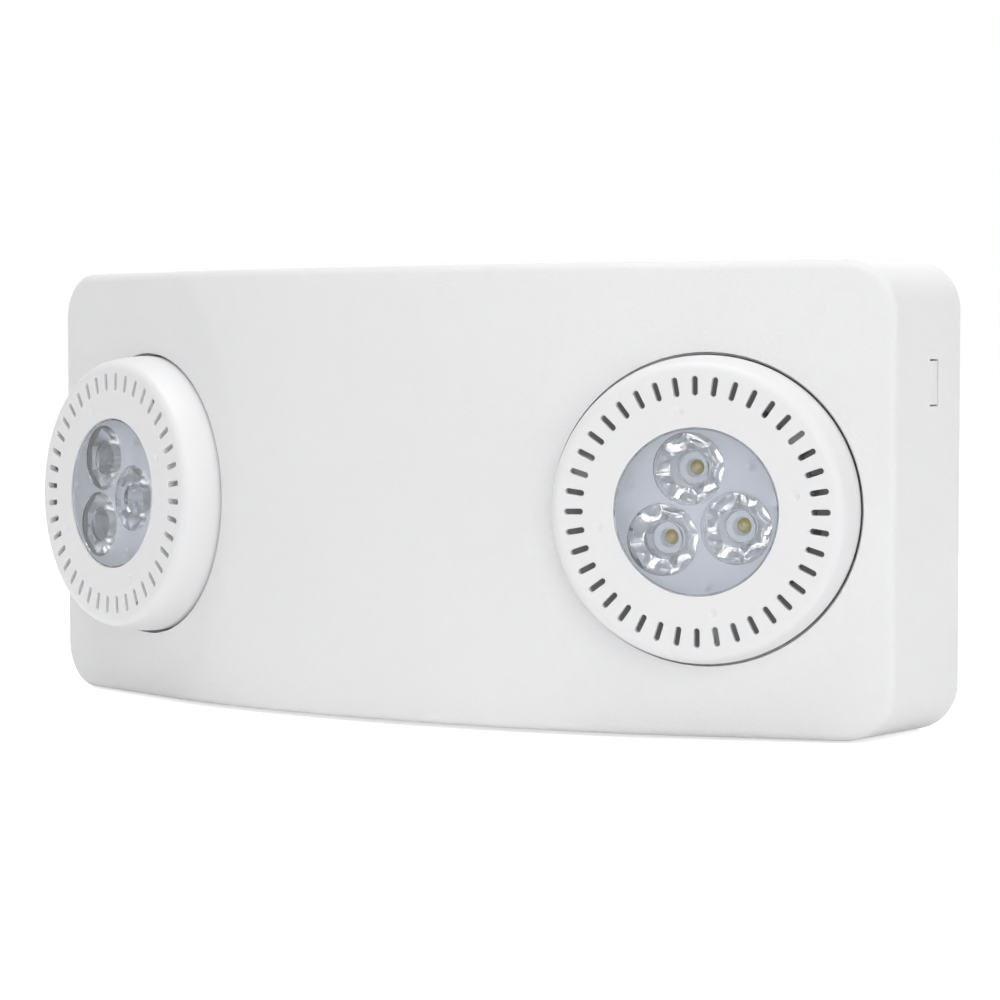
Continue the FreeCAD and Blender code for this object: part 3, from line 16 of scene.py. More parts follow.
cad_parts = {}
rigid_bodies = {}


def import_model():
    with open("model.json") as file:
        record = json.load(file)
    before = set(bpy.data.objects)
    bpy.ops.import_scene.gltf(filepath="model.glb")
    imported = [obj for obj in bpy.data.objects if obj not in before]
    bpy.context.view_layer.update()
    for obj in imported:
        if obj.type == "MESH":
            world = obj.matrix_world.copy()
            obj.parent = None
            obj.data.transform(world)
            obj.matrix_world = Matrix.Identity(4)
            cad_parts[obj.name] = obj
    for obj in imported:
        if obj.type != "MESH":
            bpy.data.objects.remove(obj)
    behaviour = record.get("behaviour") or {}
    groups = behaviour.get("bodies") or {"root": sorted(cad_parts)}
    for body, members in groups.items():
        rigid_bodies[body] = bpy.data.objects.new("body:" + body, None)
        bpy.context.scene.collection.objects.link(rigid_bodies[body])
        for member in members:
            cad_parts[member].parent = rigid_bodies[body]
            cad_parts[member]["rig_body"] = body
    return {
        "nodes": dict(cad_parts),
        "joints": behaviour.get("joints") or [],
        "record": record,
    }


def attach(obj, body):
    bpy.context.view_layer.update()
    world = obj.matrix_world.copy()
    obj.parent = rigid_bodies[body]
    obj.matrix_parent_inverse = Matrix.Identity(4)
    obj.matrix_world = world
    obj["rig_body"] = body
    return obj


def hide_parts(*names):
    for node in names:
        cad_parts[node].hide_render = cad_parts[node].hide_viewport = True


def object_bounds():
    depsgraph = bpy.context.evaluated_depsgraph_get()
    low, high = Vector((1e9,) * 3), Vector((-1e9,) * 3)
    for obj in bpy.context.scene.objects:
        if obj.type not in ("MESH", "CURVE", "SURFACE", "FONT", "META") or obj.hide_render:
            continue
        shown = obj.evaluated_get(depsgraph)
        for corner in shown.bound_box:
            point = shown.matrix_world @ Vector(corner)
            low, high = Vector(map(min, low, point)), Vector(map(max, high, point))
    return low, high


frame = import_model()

MM = 0.001
CAD_LOW, CAD_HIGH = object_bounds()
NODES = frame["nodes"]
JOINTS = {joint["name"]: joint for joint in frame["joints"]}
SIDES = ("left", "right")
print("CAD box in mm:", [round(v / MM, 1) for v in CAD_HIGH - CAD_LOW], "nodes:", len(NODES))

# %% [markdown]
# ## The camera
# The camera stands low and to the right of the light, and looks a little down at it. A long lens
# would flatten the crown and a short one would bulge it, so the focal length and the place were
# worked out together from the outline of the cover and the two round openings.

# %% Camera
CAMERA_AT = Vector((0.51869, -0.80472, 0.03748))
CAMERA_YAW = -33.14
CAMERA_PITCH = -2.51
CAMERA_LENS = 111.95
CAMERA_SENSOR = 36.0


def make_camera():
    data = bpy.data.cameras.new("camera")
    data.lens = CAMERA_LENS
    data.sensor_width = CAMERA_SENSOR
    camera = bpy.data.objects.new("camera", data)
    bpy.context.scene.collection.objects.link(camera)
    camera.location = CAMERA_AT
    camera.rotation_euler = (math.radians(90 + CAMERA_PITCH), 0, math.radians(-CAMERA_YAW))
    bpy.context.scene.camera = camera
    return camera


camera = make_camera()
bpy.context.scene.view_settings.view_transform = "Standard"
print("camera is", round((camera.location - (CAD_LOW + CAD_HIGH) / 2).length, 3), "m away")

# %% [markdown]
# ## Nodes without a window
# Shader nodes are dragged and wired by hand in Blender's window. Here a small helper adds a node
# and sets its values, and another wires two sockets, which keeps each finish short to read.

# %% Helpers for shader nodes


def add(tree, kind, inputs=None, **settings):
    """A new node, with its settings and the values of its unlinked inputs."""
    node = tree.nodes.new(kind)
    for key, value in settings.items():
        setattr(node, key, value)
    for key, value in (inputs or {}).items():
        node.inputs[key].default_value = value
    return node


def wire(tree, *pairs):
    for source, target in pairs:
        tree.links.new(source, target)


def ramp(tree, source, low, high, to_low, to_high):
    """Maps a value from one range to another, held at the ends."""
    node = add(tree, "ShaderNodeMapRange")
    names = ("From Min", "From Max", "To Min", "To Max")
    for key, value in zip(names, (low, high, to_low, to_high)):
        node.inputs[key].default_value = value
    wire(tree, (source, node.inputs["Value"]))
    return node.outputs["Result"]


def math_node(tree, operation, *values):
    node = add(tree, "ShaderNodeMath", operation=operation)
    for socket, value in zip(node.inputs, values):
        if isinstance(value, (int, float)):
            socket.default_value = value
        else:
            wire(tree, (value, socket))
    return node.outputs[0]


def blend_colours(tree, factor, first, second):
    """Mixes two colours by a factor; a colour may be a socket or three numbers."""
    node = add(tree, "ShaderNodeMix", data_type="RGBA")
    wire(tree, (factor, node.inputs["Factor"]))
    for socket, colour in ((node.inputs[6], first), (node.inputs[7], second)):
        if isinstance(colour, tuple):
            socket.default_value = (*colour, 1)
        else:
            wire(tree, (colour, socket))
    return node.outputs[2]


print("shader helpers are ready")

# %% [markdown]
# ## The room
# The light is shown in a soft studio. A white background could be had by pouring light on
# everything, but that would burn out the white plastic too. So the world lights softly and only
# looks white when it is seen. What gloss and clear plastic see of the room in front of the light
# is greyer, as a studio is behind its camera.

# %% World
WORLD_LIGHT = 0.45
WORLD_TINT = (0.985, 0.99, 1.0)
ROOM_SHADE = 0.45
ROOM_TURN = (-0.6, 0.5)


def seen_directly(tree):
    """1 for rays from the camera, from a gloss or through glass, and 0 for lighting rays."""
    path = add(tree, "ShaderNodeLightPath")
    seen = math_node(tree, "MAXIMUM", path.outputs["Is Camera Ray"], path.outputs["Is Glossy Ray"])
    return math_node(tree, "MAXIMUM", seen, path.outputs["Is Transmission Ray"])


def make_world():
    world = bpy.data.worlds.new("studio")
    bpy.context.scene.world = world
    world.use_nodes = True
    tree = world.node_tree
    tree.nodes.clear()
    soft = add(tree, "ShaderNodeBackground", {"Color": (*WORLD_TINT, 1), "Strength": WORLD_LIGHT})
    white = add(tree, "ShaderNodeBackground", {"Color": (1, 1, 1, 1)})
    place = add(tree, "ShaderNodeTexCoord")
    split = add(tree, "ShaderNodeSeparateXYZ")
    path = add(tree, "ShaderNodeLightPath")
    wire(tree, (place.outputs["Generated"], split.inputs[0]))
    room = ramp(tree, split.outputs["Y"], *ROOM_TURN, ROOM_SHADE, 1.0)
    shown = math_node(tree, "MAXIMUM", room, path.outputs["Is Camera Ray"])
    wire(tree, (shown, white.inputs["Strength"]))
    mix = add(tree, "ShaderNodeMixShader")
    out = add(tree, "ShaderNodeOutputWorld")
    wire(tree, (seen_directly(tree), mix.inputs[0]), (soft.outputs[0], mix.inputs[1]),
         (white.outputs[0], mix.inputs[2]), (mix.outputs[0], out.inputs[0]))


make_world()
print("world light", WORLD_LIGHT)

# %% [markdown]
# ## The floor
# A plain pale plane carries the light and takes its shadow. It adds a little glow of its own only
# for rays from the camera, from mirrors and through glass, so it looks nearly white and throws no
# extra light on the plastic.

# %% Floor
FLOOR_SIZE = 60.0
FLOOR_COLOUR = (0.92, 0.92, 0.92)
FLOOR_ROUGHNESS = 0.9
FLOOR_GLOW = 0.62


def make_floor():
    bpy.ops.mesh.primitive_plane_add(size=FLOOR_SIZE, location=(0, 0, CAD_LOW.z))
    floor = bpy.context.object
    floor.name = "floor"
    material = bpy.data.materials.new("pale floor")
    material.use_nodes = True
    tree = material.node_tree
    shader = tree.nodes["Principled BSDF"]
    shader.inputs["Base Color"].default_value = (*FLOOR_COLOUR, 1)
    shader.inputs["Roughness"].default_value = FLOOR_ROUGHNESS
    shader.inputs["Emission Color"].default_value = (1, 1, 1, 1)
    glow = math_node(tree, "MULTIPLY", seen_directly(tree), FLOOR_GLOW)
    wire(tree, (glow, shader.inputs["Emission Strength"]))
    floor.data.materials.append(material)


make_floor()
print("floor at", round(CAD_LOW.z / MM, 2), "mm")

# %% [markdown]
# ## The lamps
# Large round lamps give the soft edges of studio shadows. The key stands beside the camera, the
# top lamp brightens the upper walls, the side and fill lamps lift the two ends, and the back lamp
# is there for views from behind. One function makes them all from a table.

# %% Lamps
LAMPS = {
    "top": {"at": (0.0, -0.25, 1.8), "size": 1.2, "watts": 15.1},
    "key": {"at": (1.3, -1.7, 0.4), "size": 1.8, "watts": 13.2},
    "side": {"at": (1.9, -0.3, 0.4), "size": 1.2, "watts": 4.3},
    "fill": {"at": (-1.5, -1.6, 0.5), "size": 1.4, "watts": 2.7},
    "back": {"at": (-0.6, 2.0, 0.9), "size": 1.6, "watts": 8.0},
}
AIM_POINT = Vector((0, -0.05, 0))


def make_lamp(name, at, size, watts):
    data = bpy.data.lights.new(name, "AREA")
    data.shape = "DISK"
    data.size = size
    data.energy = watts
    lamp = bpy.data.objects.new(name, data)
    bpy.context.scene.collection.objects.link(lamp)
    lamp.location = at
    lamp.rotation_euler = (AIM_POINT - Vector(at)).to_track_quat("-Z", "Y").to_euler()


for name, facts in LAMPS.items():
    make_lamp(name, **facts)
print("lamps:", ", ".join(LAMPS))

# %% [markdown]
# ## Shared effects
# Several finishes need the same ingredients: the fine grain that a spark-eroded mould leaves, the
# faint streaks of plated or drawn metal, and parallel lines for windings and laminations. Each
# could be built again in every material, but a node group is built once and takes its own values
# wherever it is used. A group hands out only masks and heights, and the shader stays outside it.

# %% A new group


def new_group(name, inputs, outputs):
    """An empty shader group with float inputs and outputs, and a vector to read."""
    group = bpy.data.node_groups.new(name, "ShaderNodeTree")
    group.interface.new_socket("Vector", in_out="INPUT", socket_type="NodeSocketVector")
    for socket_name, value in inputs.items():
        socket = group.interface.new_socket(socket_name, in_out="INPUT",
                                            socket_type="NodeSocketFloat")
        socket.default_value = value
    for socket_name in outputs:
        group.interface.new_socket(socket_name, in_out="OUTPUT", socket_type="NodeSocketFloat")
    return group, add(group, "NodeGroupInput"), add(group, "NodeGroupOutput")


print("groups can be made")

# %% [markdown]
# ### Moulded grain
# A spark-eroded mould leaves a skin of fine bumps on plastic. A photograph of it could be used as
# a texture, but noise at the right scale gives it on any shape. A second, slow noise changes the
# tone a little over the piece, because no moulding is quite even.

# %% Group: moulded grain


def make_grain_group():
    """Fine moulded grain: a height, and a slow change of tone over the piece."""
    group, given, out = new_group("moulded grain", {"Grain Scale": 1400.0, "Tone Scale": 14.0},
                                  ("Height", "Tone"))
    fine = add(group, "ShaderNodeTexNoise", {"Detail": 3.0, "Roughness": 0.55})
    slow = add(group, "ShaderNodeTexNoise", {"Detail": 2.0, "Roughness": 0.5})
    for node, scale in ((fine, "Grain Scale"), (slow, "Tone Scale")):
        wire(group, (given.outputs["Vector"], node.inputs["Vector"]),
             (given.outputs[scale], node.inputs["Scale"]))
    wire(group, (fine.outputs["Fac"], out.inputs["Height"]),
         (slow.outputs["Fac"], out.inputs["Tone"]))
    return group


GRAIN = make_grain_group()
print(GRAIN.name, "is ready")

# %% [markdown]
# ### Streaks
# Plated and drawn metal shows thin marks along the way it was drawn. The same noise does it, when
# its coordinates are squeezed along one axis.

# %% Group: streaks


def make_streak_group():
    """Long thin streaks along one axis of the given vector, for plated and drawn metal."""
    group, given, out = new_group("streaks", {"Scale": 400.0, "Stretch": 0.04}, ("Height", "Tone"))
    squeeze = add(group, "ShaderNodeCombineXYZ", {"X": 1.0, "Y": 1.0})
    stretched = add(group, "ShaderNodeVectorMath", operation="MULTIPLY")
    noise = add(group, "ShaderNodeTexNoise", {"Detail": 4.0, "Roughness": 0.6})
    blot = add(group, "ShaderNodeTexNoise", {"Scale": 60.0, "Detail": 2.0})
    wire(group, (given.outputs["Stretch"], squeeze.inputs["Z"]),
         (given.outputs["Vector"], stretched.inputs[0]), (squeeze.outputs[0], stretched.inputs[1]),
         (stretched.outputs[0], noise.inputs["Vector"]),
         (given.outputs["Scale"], noise.inputs["Scale"]),
         (given.outputs["Vector"], blot.inputs["Vector"]),
         (noise.outputs["Fac"], out.inputs["Height"]), (blot.outputs["Fac"], out.inputs["Tone"]))
    return group


STREAKS = make_streak_group()
print(STREAKS.name, "is ready")

# %% [markdown]
# ### Parallel lines
# Windings, stacked laminations and shrunk sleeves have ridges side by side. A wave texture gives
# them, and its distortion keeps them from looking ruled.

# %% Group: parallel lines


def make_line_group():
    """Even ridges across one axis of the given vector, with a little unevenness."""
    values = {"Lines Per Metre": 1500.0, "Wobble": 0.4}
    group, given, out = new_group("parallel lines", values, ("Height", "Tone"))
    wave = add(group, "ShaderNodeTexWave", {"Detail": 1.0}, bands_direction="Z")
    blot = add(group, "ShaderNodeTexNoise", {"Scale": 90.0, "Detail": 2.0})
    wave_scale = math_node(group, "DIVIDE", given.outputs["Lines Per Metre"], 2 * math.pi)
    wire(group, (given.outputs["Vector"], wave.inputs["Vector"]),
         (wave_scale, wave.inputs["Scale"]), (given.outputs["Wobble"], wave.inputs["Distortion"]),
         (given.outputs["Vector"], blot.inputs["Vector"]),
         (wave.outputs["Fac"], out.inputs["Height"]), (blot.outputs["Fac"], out.inputs["Tone"]))
    return group


LINES = make_line_group()
print(LINES.name, "is ready")

# %% [markdown]
# ## One way to build every opaque finish
# Most finishes here differ only in colour, gloss and pattern. So one function takes a pattern
# group and turns its tone into a small change of colour and roughness and its height into bump.
# A value that is the same all over the piece is set on the shader itself.

# %% Helpers for finishes
TONE_FROM, TONE_TO = 0.3, 0.7


def new_material(name):
    material = bpy.data.materials.new(name)
    material.use_nodes = True
    return material, material.node_tree, material.node_tree.nodes["Principled BSDF"]


def object_place(tree, turn=(0, 0, 0)):
    """Object coordinates, turned so that the pattern's Z runs along the wanted axis."""
    where = add(tree, "ShaderNodeTexCoord")
    mapping = add(tree, "ShaderNodeMapping")
    mapping.inputs["Rotation"].default_value = [math.radians(v) for v in turn]
    wire(tree, (where.outputs["Object"], mapping.inputs["Vector"]))
    return mapping.outputs[0]


print("noise from", TONE_FROM, "to", TONE_TO, "counts as tone")

# %% The common opaque finish


def finish(name, colour, rough, group=GRAIN, values=None, shade=0.03, depth=0.02,
           turn=(0, 0, 0), metal=0.0, coat=0.0):
    """An opaque finish from a pattern. shade is the change of colour, depth the bump in mm."""
    material, tree, shader = new_material(name)
    pattern = add(tree, "ShaderNodeGroup", node_tree=group)
    for key, value in (values or {}).items():
        pattern.inputs[key].default_value = value
    wire(tree, (object_place(tree, turn), pattern.inputs["Vector"]))
    tone = ramp(tree, pattern.outputs["Tone"], TONE_FROM, TONE_TO, 0.0, 1.0)
    dark = tuple(c * (1 - shade) for c in colour)
    roughness = ramp(tree, pattern.outputs["Tone"], TONE_FROM, TONE_TO, *rough)
    bump = add(tree, "ShaderNodeBump", {"Strength": 1.0, "Distance": depth * MM})
    wire(tree, (blend_colours(tree, tone, colour, dark), shader.inputs["Base Color"]),
         (roughness, shader.inputs["Roughness"]),
         (pattern.outputs["Height"], bump.inputs["Height"]),
         (bump.outputs[0], shader.inputs["Normal"]))
    shader.inputs["Metallic"].default_value = metal
    shader.inputs["Coat Weight"].default_value = coat
    return material


print("opaque finishes can be made")

# %% [markdown]
# ## Plastics
# The cover, the base and the heads are white moulded plastic. The cover's skin is grained and
# fairly matt, and the heads are smoother, so they take separate finishes of nearly one colour. The
# pieces inside have plain moulded finishes in their usual colours.

# %% Plastics
COVER_COLOUR = (0.85, 0.85, 0.855)
HEAD_COLOUR = (0.835, 0.835, 0.84)

FINISH = {
    "cover": finish("cover skin", COVER_COLOUR, (0.50, 0.56), values={"Grain Scale": 1700.0},
                    shade=0.015, depth=0.18),
    "base": finish("base skin", COVER_COLOUR, (0.50, 0.58), values={"Grain Scale": 1700.0},
                   shade=0.02, depth=0.18),
    "head": finish("head skin", HEAD_COLOUR, (0.40, 0.45), values={"Grain Scale": 2600.0},
                   shade=0.01, depth=0.006),
    "inner_plastic": finish("inner plastic", (0.70, 0.70, 0.70), (0.45, 0.55), shade=0.05),
    "terminal": finish("terminal plastic", (0.08, 0.26, 0.12), (0.35, 0.45), shade=0.10),
    "sockets": finish("socket plastic", (0.78, 0.75, 0.66), (0.35, 0.45), shade=0.06),
    "switch": finish("switch plastic", (0.03, 0.03, 0.03), (0.30, 0.42), shade=0.20),
    "button": finish("button plastic", (0.60, 0.60, 0.61), (0.32, 0.38), shade=0.04, depth=0.008),
}
print("plastics:", ", ".join(FINISH))

# %% [markdown]
# ## Metals, boards and windings
# These pieces hide in the housing and the heads, and show when a head or the cover is taken off.
# Each has the pattern that its making leaves: casting grain, plating streaks, or ridges.

# %% Metals, boards and windings
FINISH.update({
    "lamp_board": finish("white lacquer", (0.80, 0.81, 0.83), (0.30, 0.45), shade=0.05, depth=0.01),
    "sink": finish("cast heat sink", (0.42, 0.43, 0.45), (0.38, 0.55), metal=0.9, shade=0.20,
                   depth=0.05, values={"Grain Scale": 900.0, "Tone Scale": 60.0}),
    "screws": finish("zinc plate", (0.60, 0.61, 0.64), (0.22, 0.38), group=STREAKS, metal=1.0,
                     shade=0.15, depth=0.01, values={"Scale": 700.0}),
    "steel_strip": finish("zinc plated strip", (0.55, 0.56, 0.58), (0.25, 0.42), group=STREAKS,
                          metal=1.0, shade=0.18, depth=0.01, turn=(0, 90, 0)),
    "core": finish("varnished laminations", (0.10, 0.10, 0.11), (0.30, 0.50), group=LINES,
                   shade=0.35, depth=0.12, turn=(90, 0, 0), values={"Lines Per Metre": 1400.0}),
    "winding": finish("winding tape", (0.55, 0.36, 0.06), (0.25, 0.40), group=LINES, shade=0.20,
                      depth=0.06, values={"Lines Per Metre": 700.0, "Wobble": 1.5}),
    "cans": finish("capacitor sleeve", (0.02, 0.025, 0.035), (0.20, 0.32), shade=0.3, depth=0.01),
    "sleeve": finish("battery sleeve", (0.02, 0.12, 0.38), (0.18, 0.30), group=LINES, shade=0.15,
                     depth=0.03, values={"Lines Per Metre": 260.0, "Wobble": 6.0}, coat=0.3),
    "pilot": finish("pilot lamp", (0.55, 0.02, 0.015), (0.10, 0.16), shade=0.15, depth=0.004,
                    coat=0.5),
})
print("finishes so far:", len(FINISH))

# %% [markdown]
# ## Circuit board
# A control board is green lacquer over copper tracks, which show as slightly lighter and raised
# paths. They could be drawn one by one; at this size a brick pattern gives runs of parallel
# tracks with breaks, and round pads come from a regular Voronoi grid.

# %% Circuit board finish
BARE_BOARD, TRACK_GREEN, PAD_TIN = (0.012, 0.12, 0.045), (0.03, 0.22, 0.09), (0.55, 0.53, 0.48)
PAD_EDGE = (0.20, 0.26)


def board_finish():
    material, tree, shader = new_material("green board")
    place = object_place(tree, (90, 0, 0))
    tracks = add(tree, "ShaderNodeTexBrick", {"Scale": 240.0, "Mortar Size": 0.12, "Bias": 0.0,
                                              "Brick Width": 2.6, "Row Height": 0.32})
    pads = add(tree, "ShaderNodeTexVoronoi", {"Scale": 390.0, "Randomness": 0.0})
    wire(tree, (place, tracks.inputs["Vector"]), (place, pads.inputs["Vector"]))
    pad = ramp(tree, pads.outputs["Distance"], *PAD_EDGE, 1.0, 0.0)
    raised = math_node(tree, "MAXIMUM", tracks.outputs["Fac"], pad)
    green = blend_colours(tree, tracks.outputs["Fac"], BARE_BOARD, TRACK_GREEN)
    colour = blend_colours(tree, pad, green, PAD_TIN)
    bump = add(tree, "ShaderNodeBump", {"Strength": 1.0, "Distance": 0.04 * MM})
    wire(tree, (colour, shader.inputs["Base Color"]), (raised, bump.inputs["Height"]),
         (bump.outputs[0], shader.inputs["Normal"]),
         (ramp(tree, raised, 0.0, 1.0, 0.28, 0.40), shader.inputs["Roughness"]))
    return material


FINISH["circuit_board"] = board_finish()
print("board finish is ready")

# %% [markdown]
# ## Clear plastic
# The optic is clear acrylic. Its front between the three lenses is left frosted by the mould, so
# the board and the pegs behind show only as soft pale blue-grey. Both could be one glass with a
# mask for its roughness; two finishes on different faces are simpler, because the border is a real
# edge. A frosted surface also scatters some light back, so its finish is partly diffuse.
# The collimators' walls come a little hazy from the mould, and the floors of the wells are paler.
# Lamps can't reach through glass by themselves, so shadow rays pass it as if it were not there.

# %% Clear and frosted finishes
ACRYLIC_IOR = 1.49


def clear_finish(name, tint, rough, scale, depth, clarity=1.0):
    """Clear plastic. What clarity leaves over from 1 scatters light back; depth is in mm."""
    material, tree, shader = new_material(name)
    place = object_place(tree)
    noise = add(tree, "ShaderNodeTexNoise", {"Scale": scale, "Detail": 2.0})
    bump = add(tree, "ShaderNodeBump", {"Strength": 1.0, "Distance": depth * MM})
    shader.inputs["Transmission Weight"].default_value = clarity
    shader.inputs["IOR"].default_value = ACRYLIC_IOR
    shader.inputs["Base Color"].default_value = (*tint, 1)
    wire(tree, (place, noise.inputs["Vector"]), (noise.outputs["Fac"], bump.inputs["Height"]),
         (bump.outputs[0], shader.inputs["Normal"]),
         (ramp(tree, noise.outputs["Fac"], TONE_FROM, TONE_TO, *rough), shader.inputs["Roughness"]))
    through = add(tree, "ShaderNodeBsdfTransparent", {"Color": (*tint, 1)})
    mix = add(tree, "ShaderNodeMixShader")
    path = add(tree, "ShaderNodeLightPath")
    wire(tree, (path.outputs["Is Shadow Ray"], mix.inputs[0]), (shader.outputs[0], mix.inputs[1]),
         (through.outputs[0], mix.inputs[2]),
         (mix.outputs[0], tree.nodes["Material Output"].inputs["Surface"]))
    return material


CLEAR = clear_finish("clear acrylic", (0.95, 0.97, 1.0), (0.01, 0.03), 60.0, 0.004)
FROSTED = clear_finish("frosted acrylic", (0.76, 0.80, 0.88), (0.36, 0.42), 900.0, 0.005,
                       clarity=0.6)
HAZED = clear_finish("hazed acrylic", (0.93, 0.95, 0.98), (0.03, 0.055), 60.0, 0.004,
                     clarity=0.86)
PALE = clear_finish("pale acrylic", (0.88, 0.91, 0.96), (0.30, 0.36), 900.0, 0.005, clarity=0.5)
FINISH["window"] = CLEAR
FINISH["light_pipe"] = CLEAR
print("clear finishes are ready")

# %% [markdown]
# ## Chip finishes
# A white lamp chip is a yellow phosphor layer on a pale ceramic base, under a clear dome.

# %% Chip finishes
FINISH["chips"] = finish("phosphor", (0.58, 0.44, 0.07), (0.45, 0.60), shade=0.12, depth=0.01,
                         values={"Grain Scale": 9000.0, "Tone Scale": 900.0})
CERAMIC = finish("chip ceramic", (0.78, 0.78, 0.76), (0.30, 0.42), shade=0.05, depth=0.004,
                 values={"Grain Scale": 9000.0, "Tone Scale": 300.0})
print("finishes:", len(FINISH) + 1)

# %% [markdown]
# ## Finishes go on the CAD nodes
# Each node's slot in the record says what it is made of, so one loop gives every carried-over
# node its finish. The pieces that show are then copied and smoothed, which comes next.

# %% Give every node its finish
SLOT_OF = {entry["node"]: entry["material_slot"] for entry in frame["record"]["subparts"]}

for node, thing in NODES.items():
    thing.data.materials.clear()
    thing.data.materials.append(FINISH[SLOT_OF[node]])
print("finished nodes:", len(NODES))

# %% [markdown]
# ## Smooth shells
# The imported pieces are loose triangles, which would show as facets on the crown and the balls. A
# subdivision surface could round them but would also move them off their true form. So a copy of
# each visible piece has its triangles joined, and is shaded smooth up to the angle of a true
# edge. Weighted normals keep the large faces flat right up to their rounded edges.

# %% Helpers for modelling
EDGE_ANGLE = 28.0
FACE_WEIGHT = 60
JOIN_DISTANCE = 0.002 * MM


def pick(*things):
    """Leaves only these objects selected, the first of them active."""
    bpy.ops.object.select_all(action="DESELECT")
    for thing in things:
        thing.select_set(True)
    bpy.context.view_layer.objects.active = things[0]


def smooth(piece, angle=EDGE_ANGLE):
    """Smooth shading up to the angle of a true edge, with large faces kept flat."""
    pick(piece)
    bpy.ops.object.shade_smooth_by_angle(angle=math.radians(angle))
    modifier = piece.modifiers.new("weighted normals", "WEIGHTED_NORMAL")
    modifier.keep_sharp = True
    modifier.weight = FACE_WEIGHT
    bpy.ops.object.modifier_apply(modifier=modifier.name)


def seat(piece, body, slot, *nodes):
    """The piece rides on its body and stands in for these nodes, which it hides; slot is not used.
    """
    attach(piece, body)
    if nodes:
        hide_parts(*nodes)


def smooth_shell(node, name):
    """A joined and smoothed copy of a CAD node."""
    source = NODES[node]
    piece = bpy.data.objects.new(name, source.data.copy())
    bpy.context.scene.collection.objects.link(piece)
    pick(piece)
    bpy.ops.object.mode_set(mode="EDIT")
    bpy.ops.mesh.select_all(action="SELECT")
    bpy.ops.mesh.remove_doubles(threshold=JOIN_DISTANCE)
    bpy.ops.object.mode_set(mode="OBJECT")
    if piece.data.has_custom_normals:
        bpy.ops.mesh.customdata_custom_splitnormals_clear()
    smooth(piece)
    seat(piece, source["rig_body"], SLOT_OF[node], node)
    return piece


print("modelling helpers are ready")

# %% Smooth the pieces that show
SHELLS = ["front_cover", "back_plate", "test_button", "status_lens", "battery_pack", "capacitors"]
for side in SIDES:
    SHELLS += [side + "_" + n for n in ("lamp_shell", "lamp_back", "swivel_ring", "retainer")]

for node in SHELLS:
    piece = smooth_shell(node, node + "_body")
    print(piece.name, len(piece.data.polygons), "faces")

# %% [markdown]
# ## Where a head is
# The optic and the chips are easiest to model lying flat at the origin, and are then carried to
# their head. The frame holds what is needed: the ball's centre and the swivel's axis, the tilt's
# axis, and how far the head rests from the middle of its tilt.

# %% The heads' frames


def head_matrix(side):
    """From millimetres in the head's own frame, with Z out of the lamp, to the row frame."""
    swivel, tilt = JOINTS[side + "_swivel"], JOINTS[side + "_tilt"]
    z = Vector(swivel["axis"]).normalized()
    y = Vector(tilt["axis"]).normalized()
    x = y.cross(z)
    ring = Matrix((x, y, z)).transposed().to_4x4()
    lean = -math.radians(sum(tilt["range_deg"]) / 2)
    place = Matrix.Translation(Vector(tilt["pos_m"])) @ ring @ Matrix.Rotation(lean, 4, "Y")
    return place @ Matrix.Diagonal((MM, MM, MM, 1))


HEAD_PLACE = {side: head_matrix(side) for side in SIDES}
for side in SIDES:
    print(side, "head looks along", [round(v, 3) for v in HEAD_PLACE[side].to_3x3().col[2] / MM])

# %% [markdown]
# ## The inside of the heads
# The vents show the inside of a head as an even dark grey, because the thin white wall lets a
# little light through. Light could be traced through the wall, which is slow and noisy. Instead the
# inner faces alone get painted shade, a dark grey in place of their white plastic, and a faint
# painted glow for the light through the wall; together they give the same grey.

# %% Painted shade and glow inside the heads
# Painted shade and painted light: a dark grey on the white inner faces, and a faint glow for light
# through the wall.
INNER_SHADE_COLOUR, INNER_PAINTED_GLOW = (0.22, 0.22, 0.225), 0.07


def make_inner_shade_and_glow():
    material = finish("painted inner shade and glow", INNER_SHADE_COLOUR, (0.55, 0.65), shade=0.06)
    shader = material.node_tree.nodes["Principled BSDF"]
    # Painted light: the inner faces glow faintly, though there is no lamp inside.
    shader.inputs["Emission Color"].default_value = (1, 1, 1, 1)
    shader.inputs["Emission Strength"].default_value = INNER_PAINTED_GLOW
    return material


INNER_SHADE_AND_GLOW = make_inner_shade_and_glow()
print(INNER_SHADE_AND_GLOW.name, "glows by", INNER_PAINTED_GLOW)

# %% Inner faces
INNER_FACE, INNER_REACH = 11.4, 41.0
TOUCH = 0.01


def paint_shade_and_glow_inside(piece, side):
    """Faces behind the head's front wall and within the ball's wall take the painted shade and
    glow.
    """
    to_head = HEAD_PLACE[side].inverted()
    piece.data.materials.append(INNER_SHADE_AND_GLOW)
    count = 0
    for face in piece.data.polygons:
        middle = to_head @ face.center
        if middle.z < INNER_FACE + TOUCH and middle.length < INNER_REACH:
            face.material_index = 1
            count += 1
    return count


for side in SIDES:
    for node in ("_lamp_shell", "_lamp_back"):
        piece = bpy.data.objects[side + node + "_body"]
        print(piece.name, paint_shade_and_glow_inside(piece, side), "inner faces of", len(piece.data.polygons))

# %% [markdown]
# ## The optic
# One moulding carries a window disc, three collimators, three pegs and a flange. Each collimator
# is a solid bowl of clear plastic: light from the chip enters a pocket in its foot, and is thrown
# forward by the outer wall, which mirrors it from the inside. That wall follows a parabola whose
# focus is at the chip. Modelling the real shape matters here, because what the eye sees in a clear
# lens is refraction and inner reflection, and no painted texture can follow the view.
#
# The parts are turned profiles, joined and cut with booleans, as one would do by hand: draw half
# a section, spin it, then use the boolean modifier. Everything is drawn in millimetres in the
# head's frame.

# %% Turned shapes
SPIN_STEPS = 96
MERGE_DISTANCE = 0.001


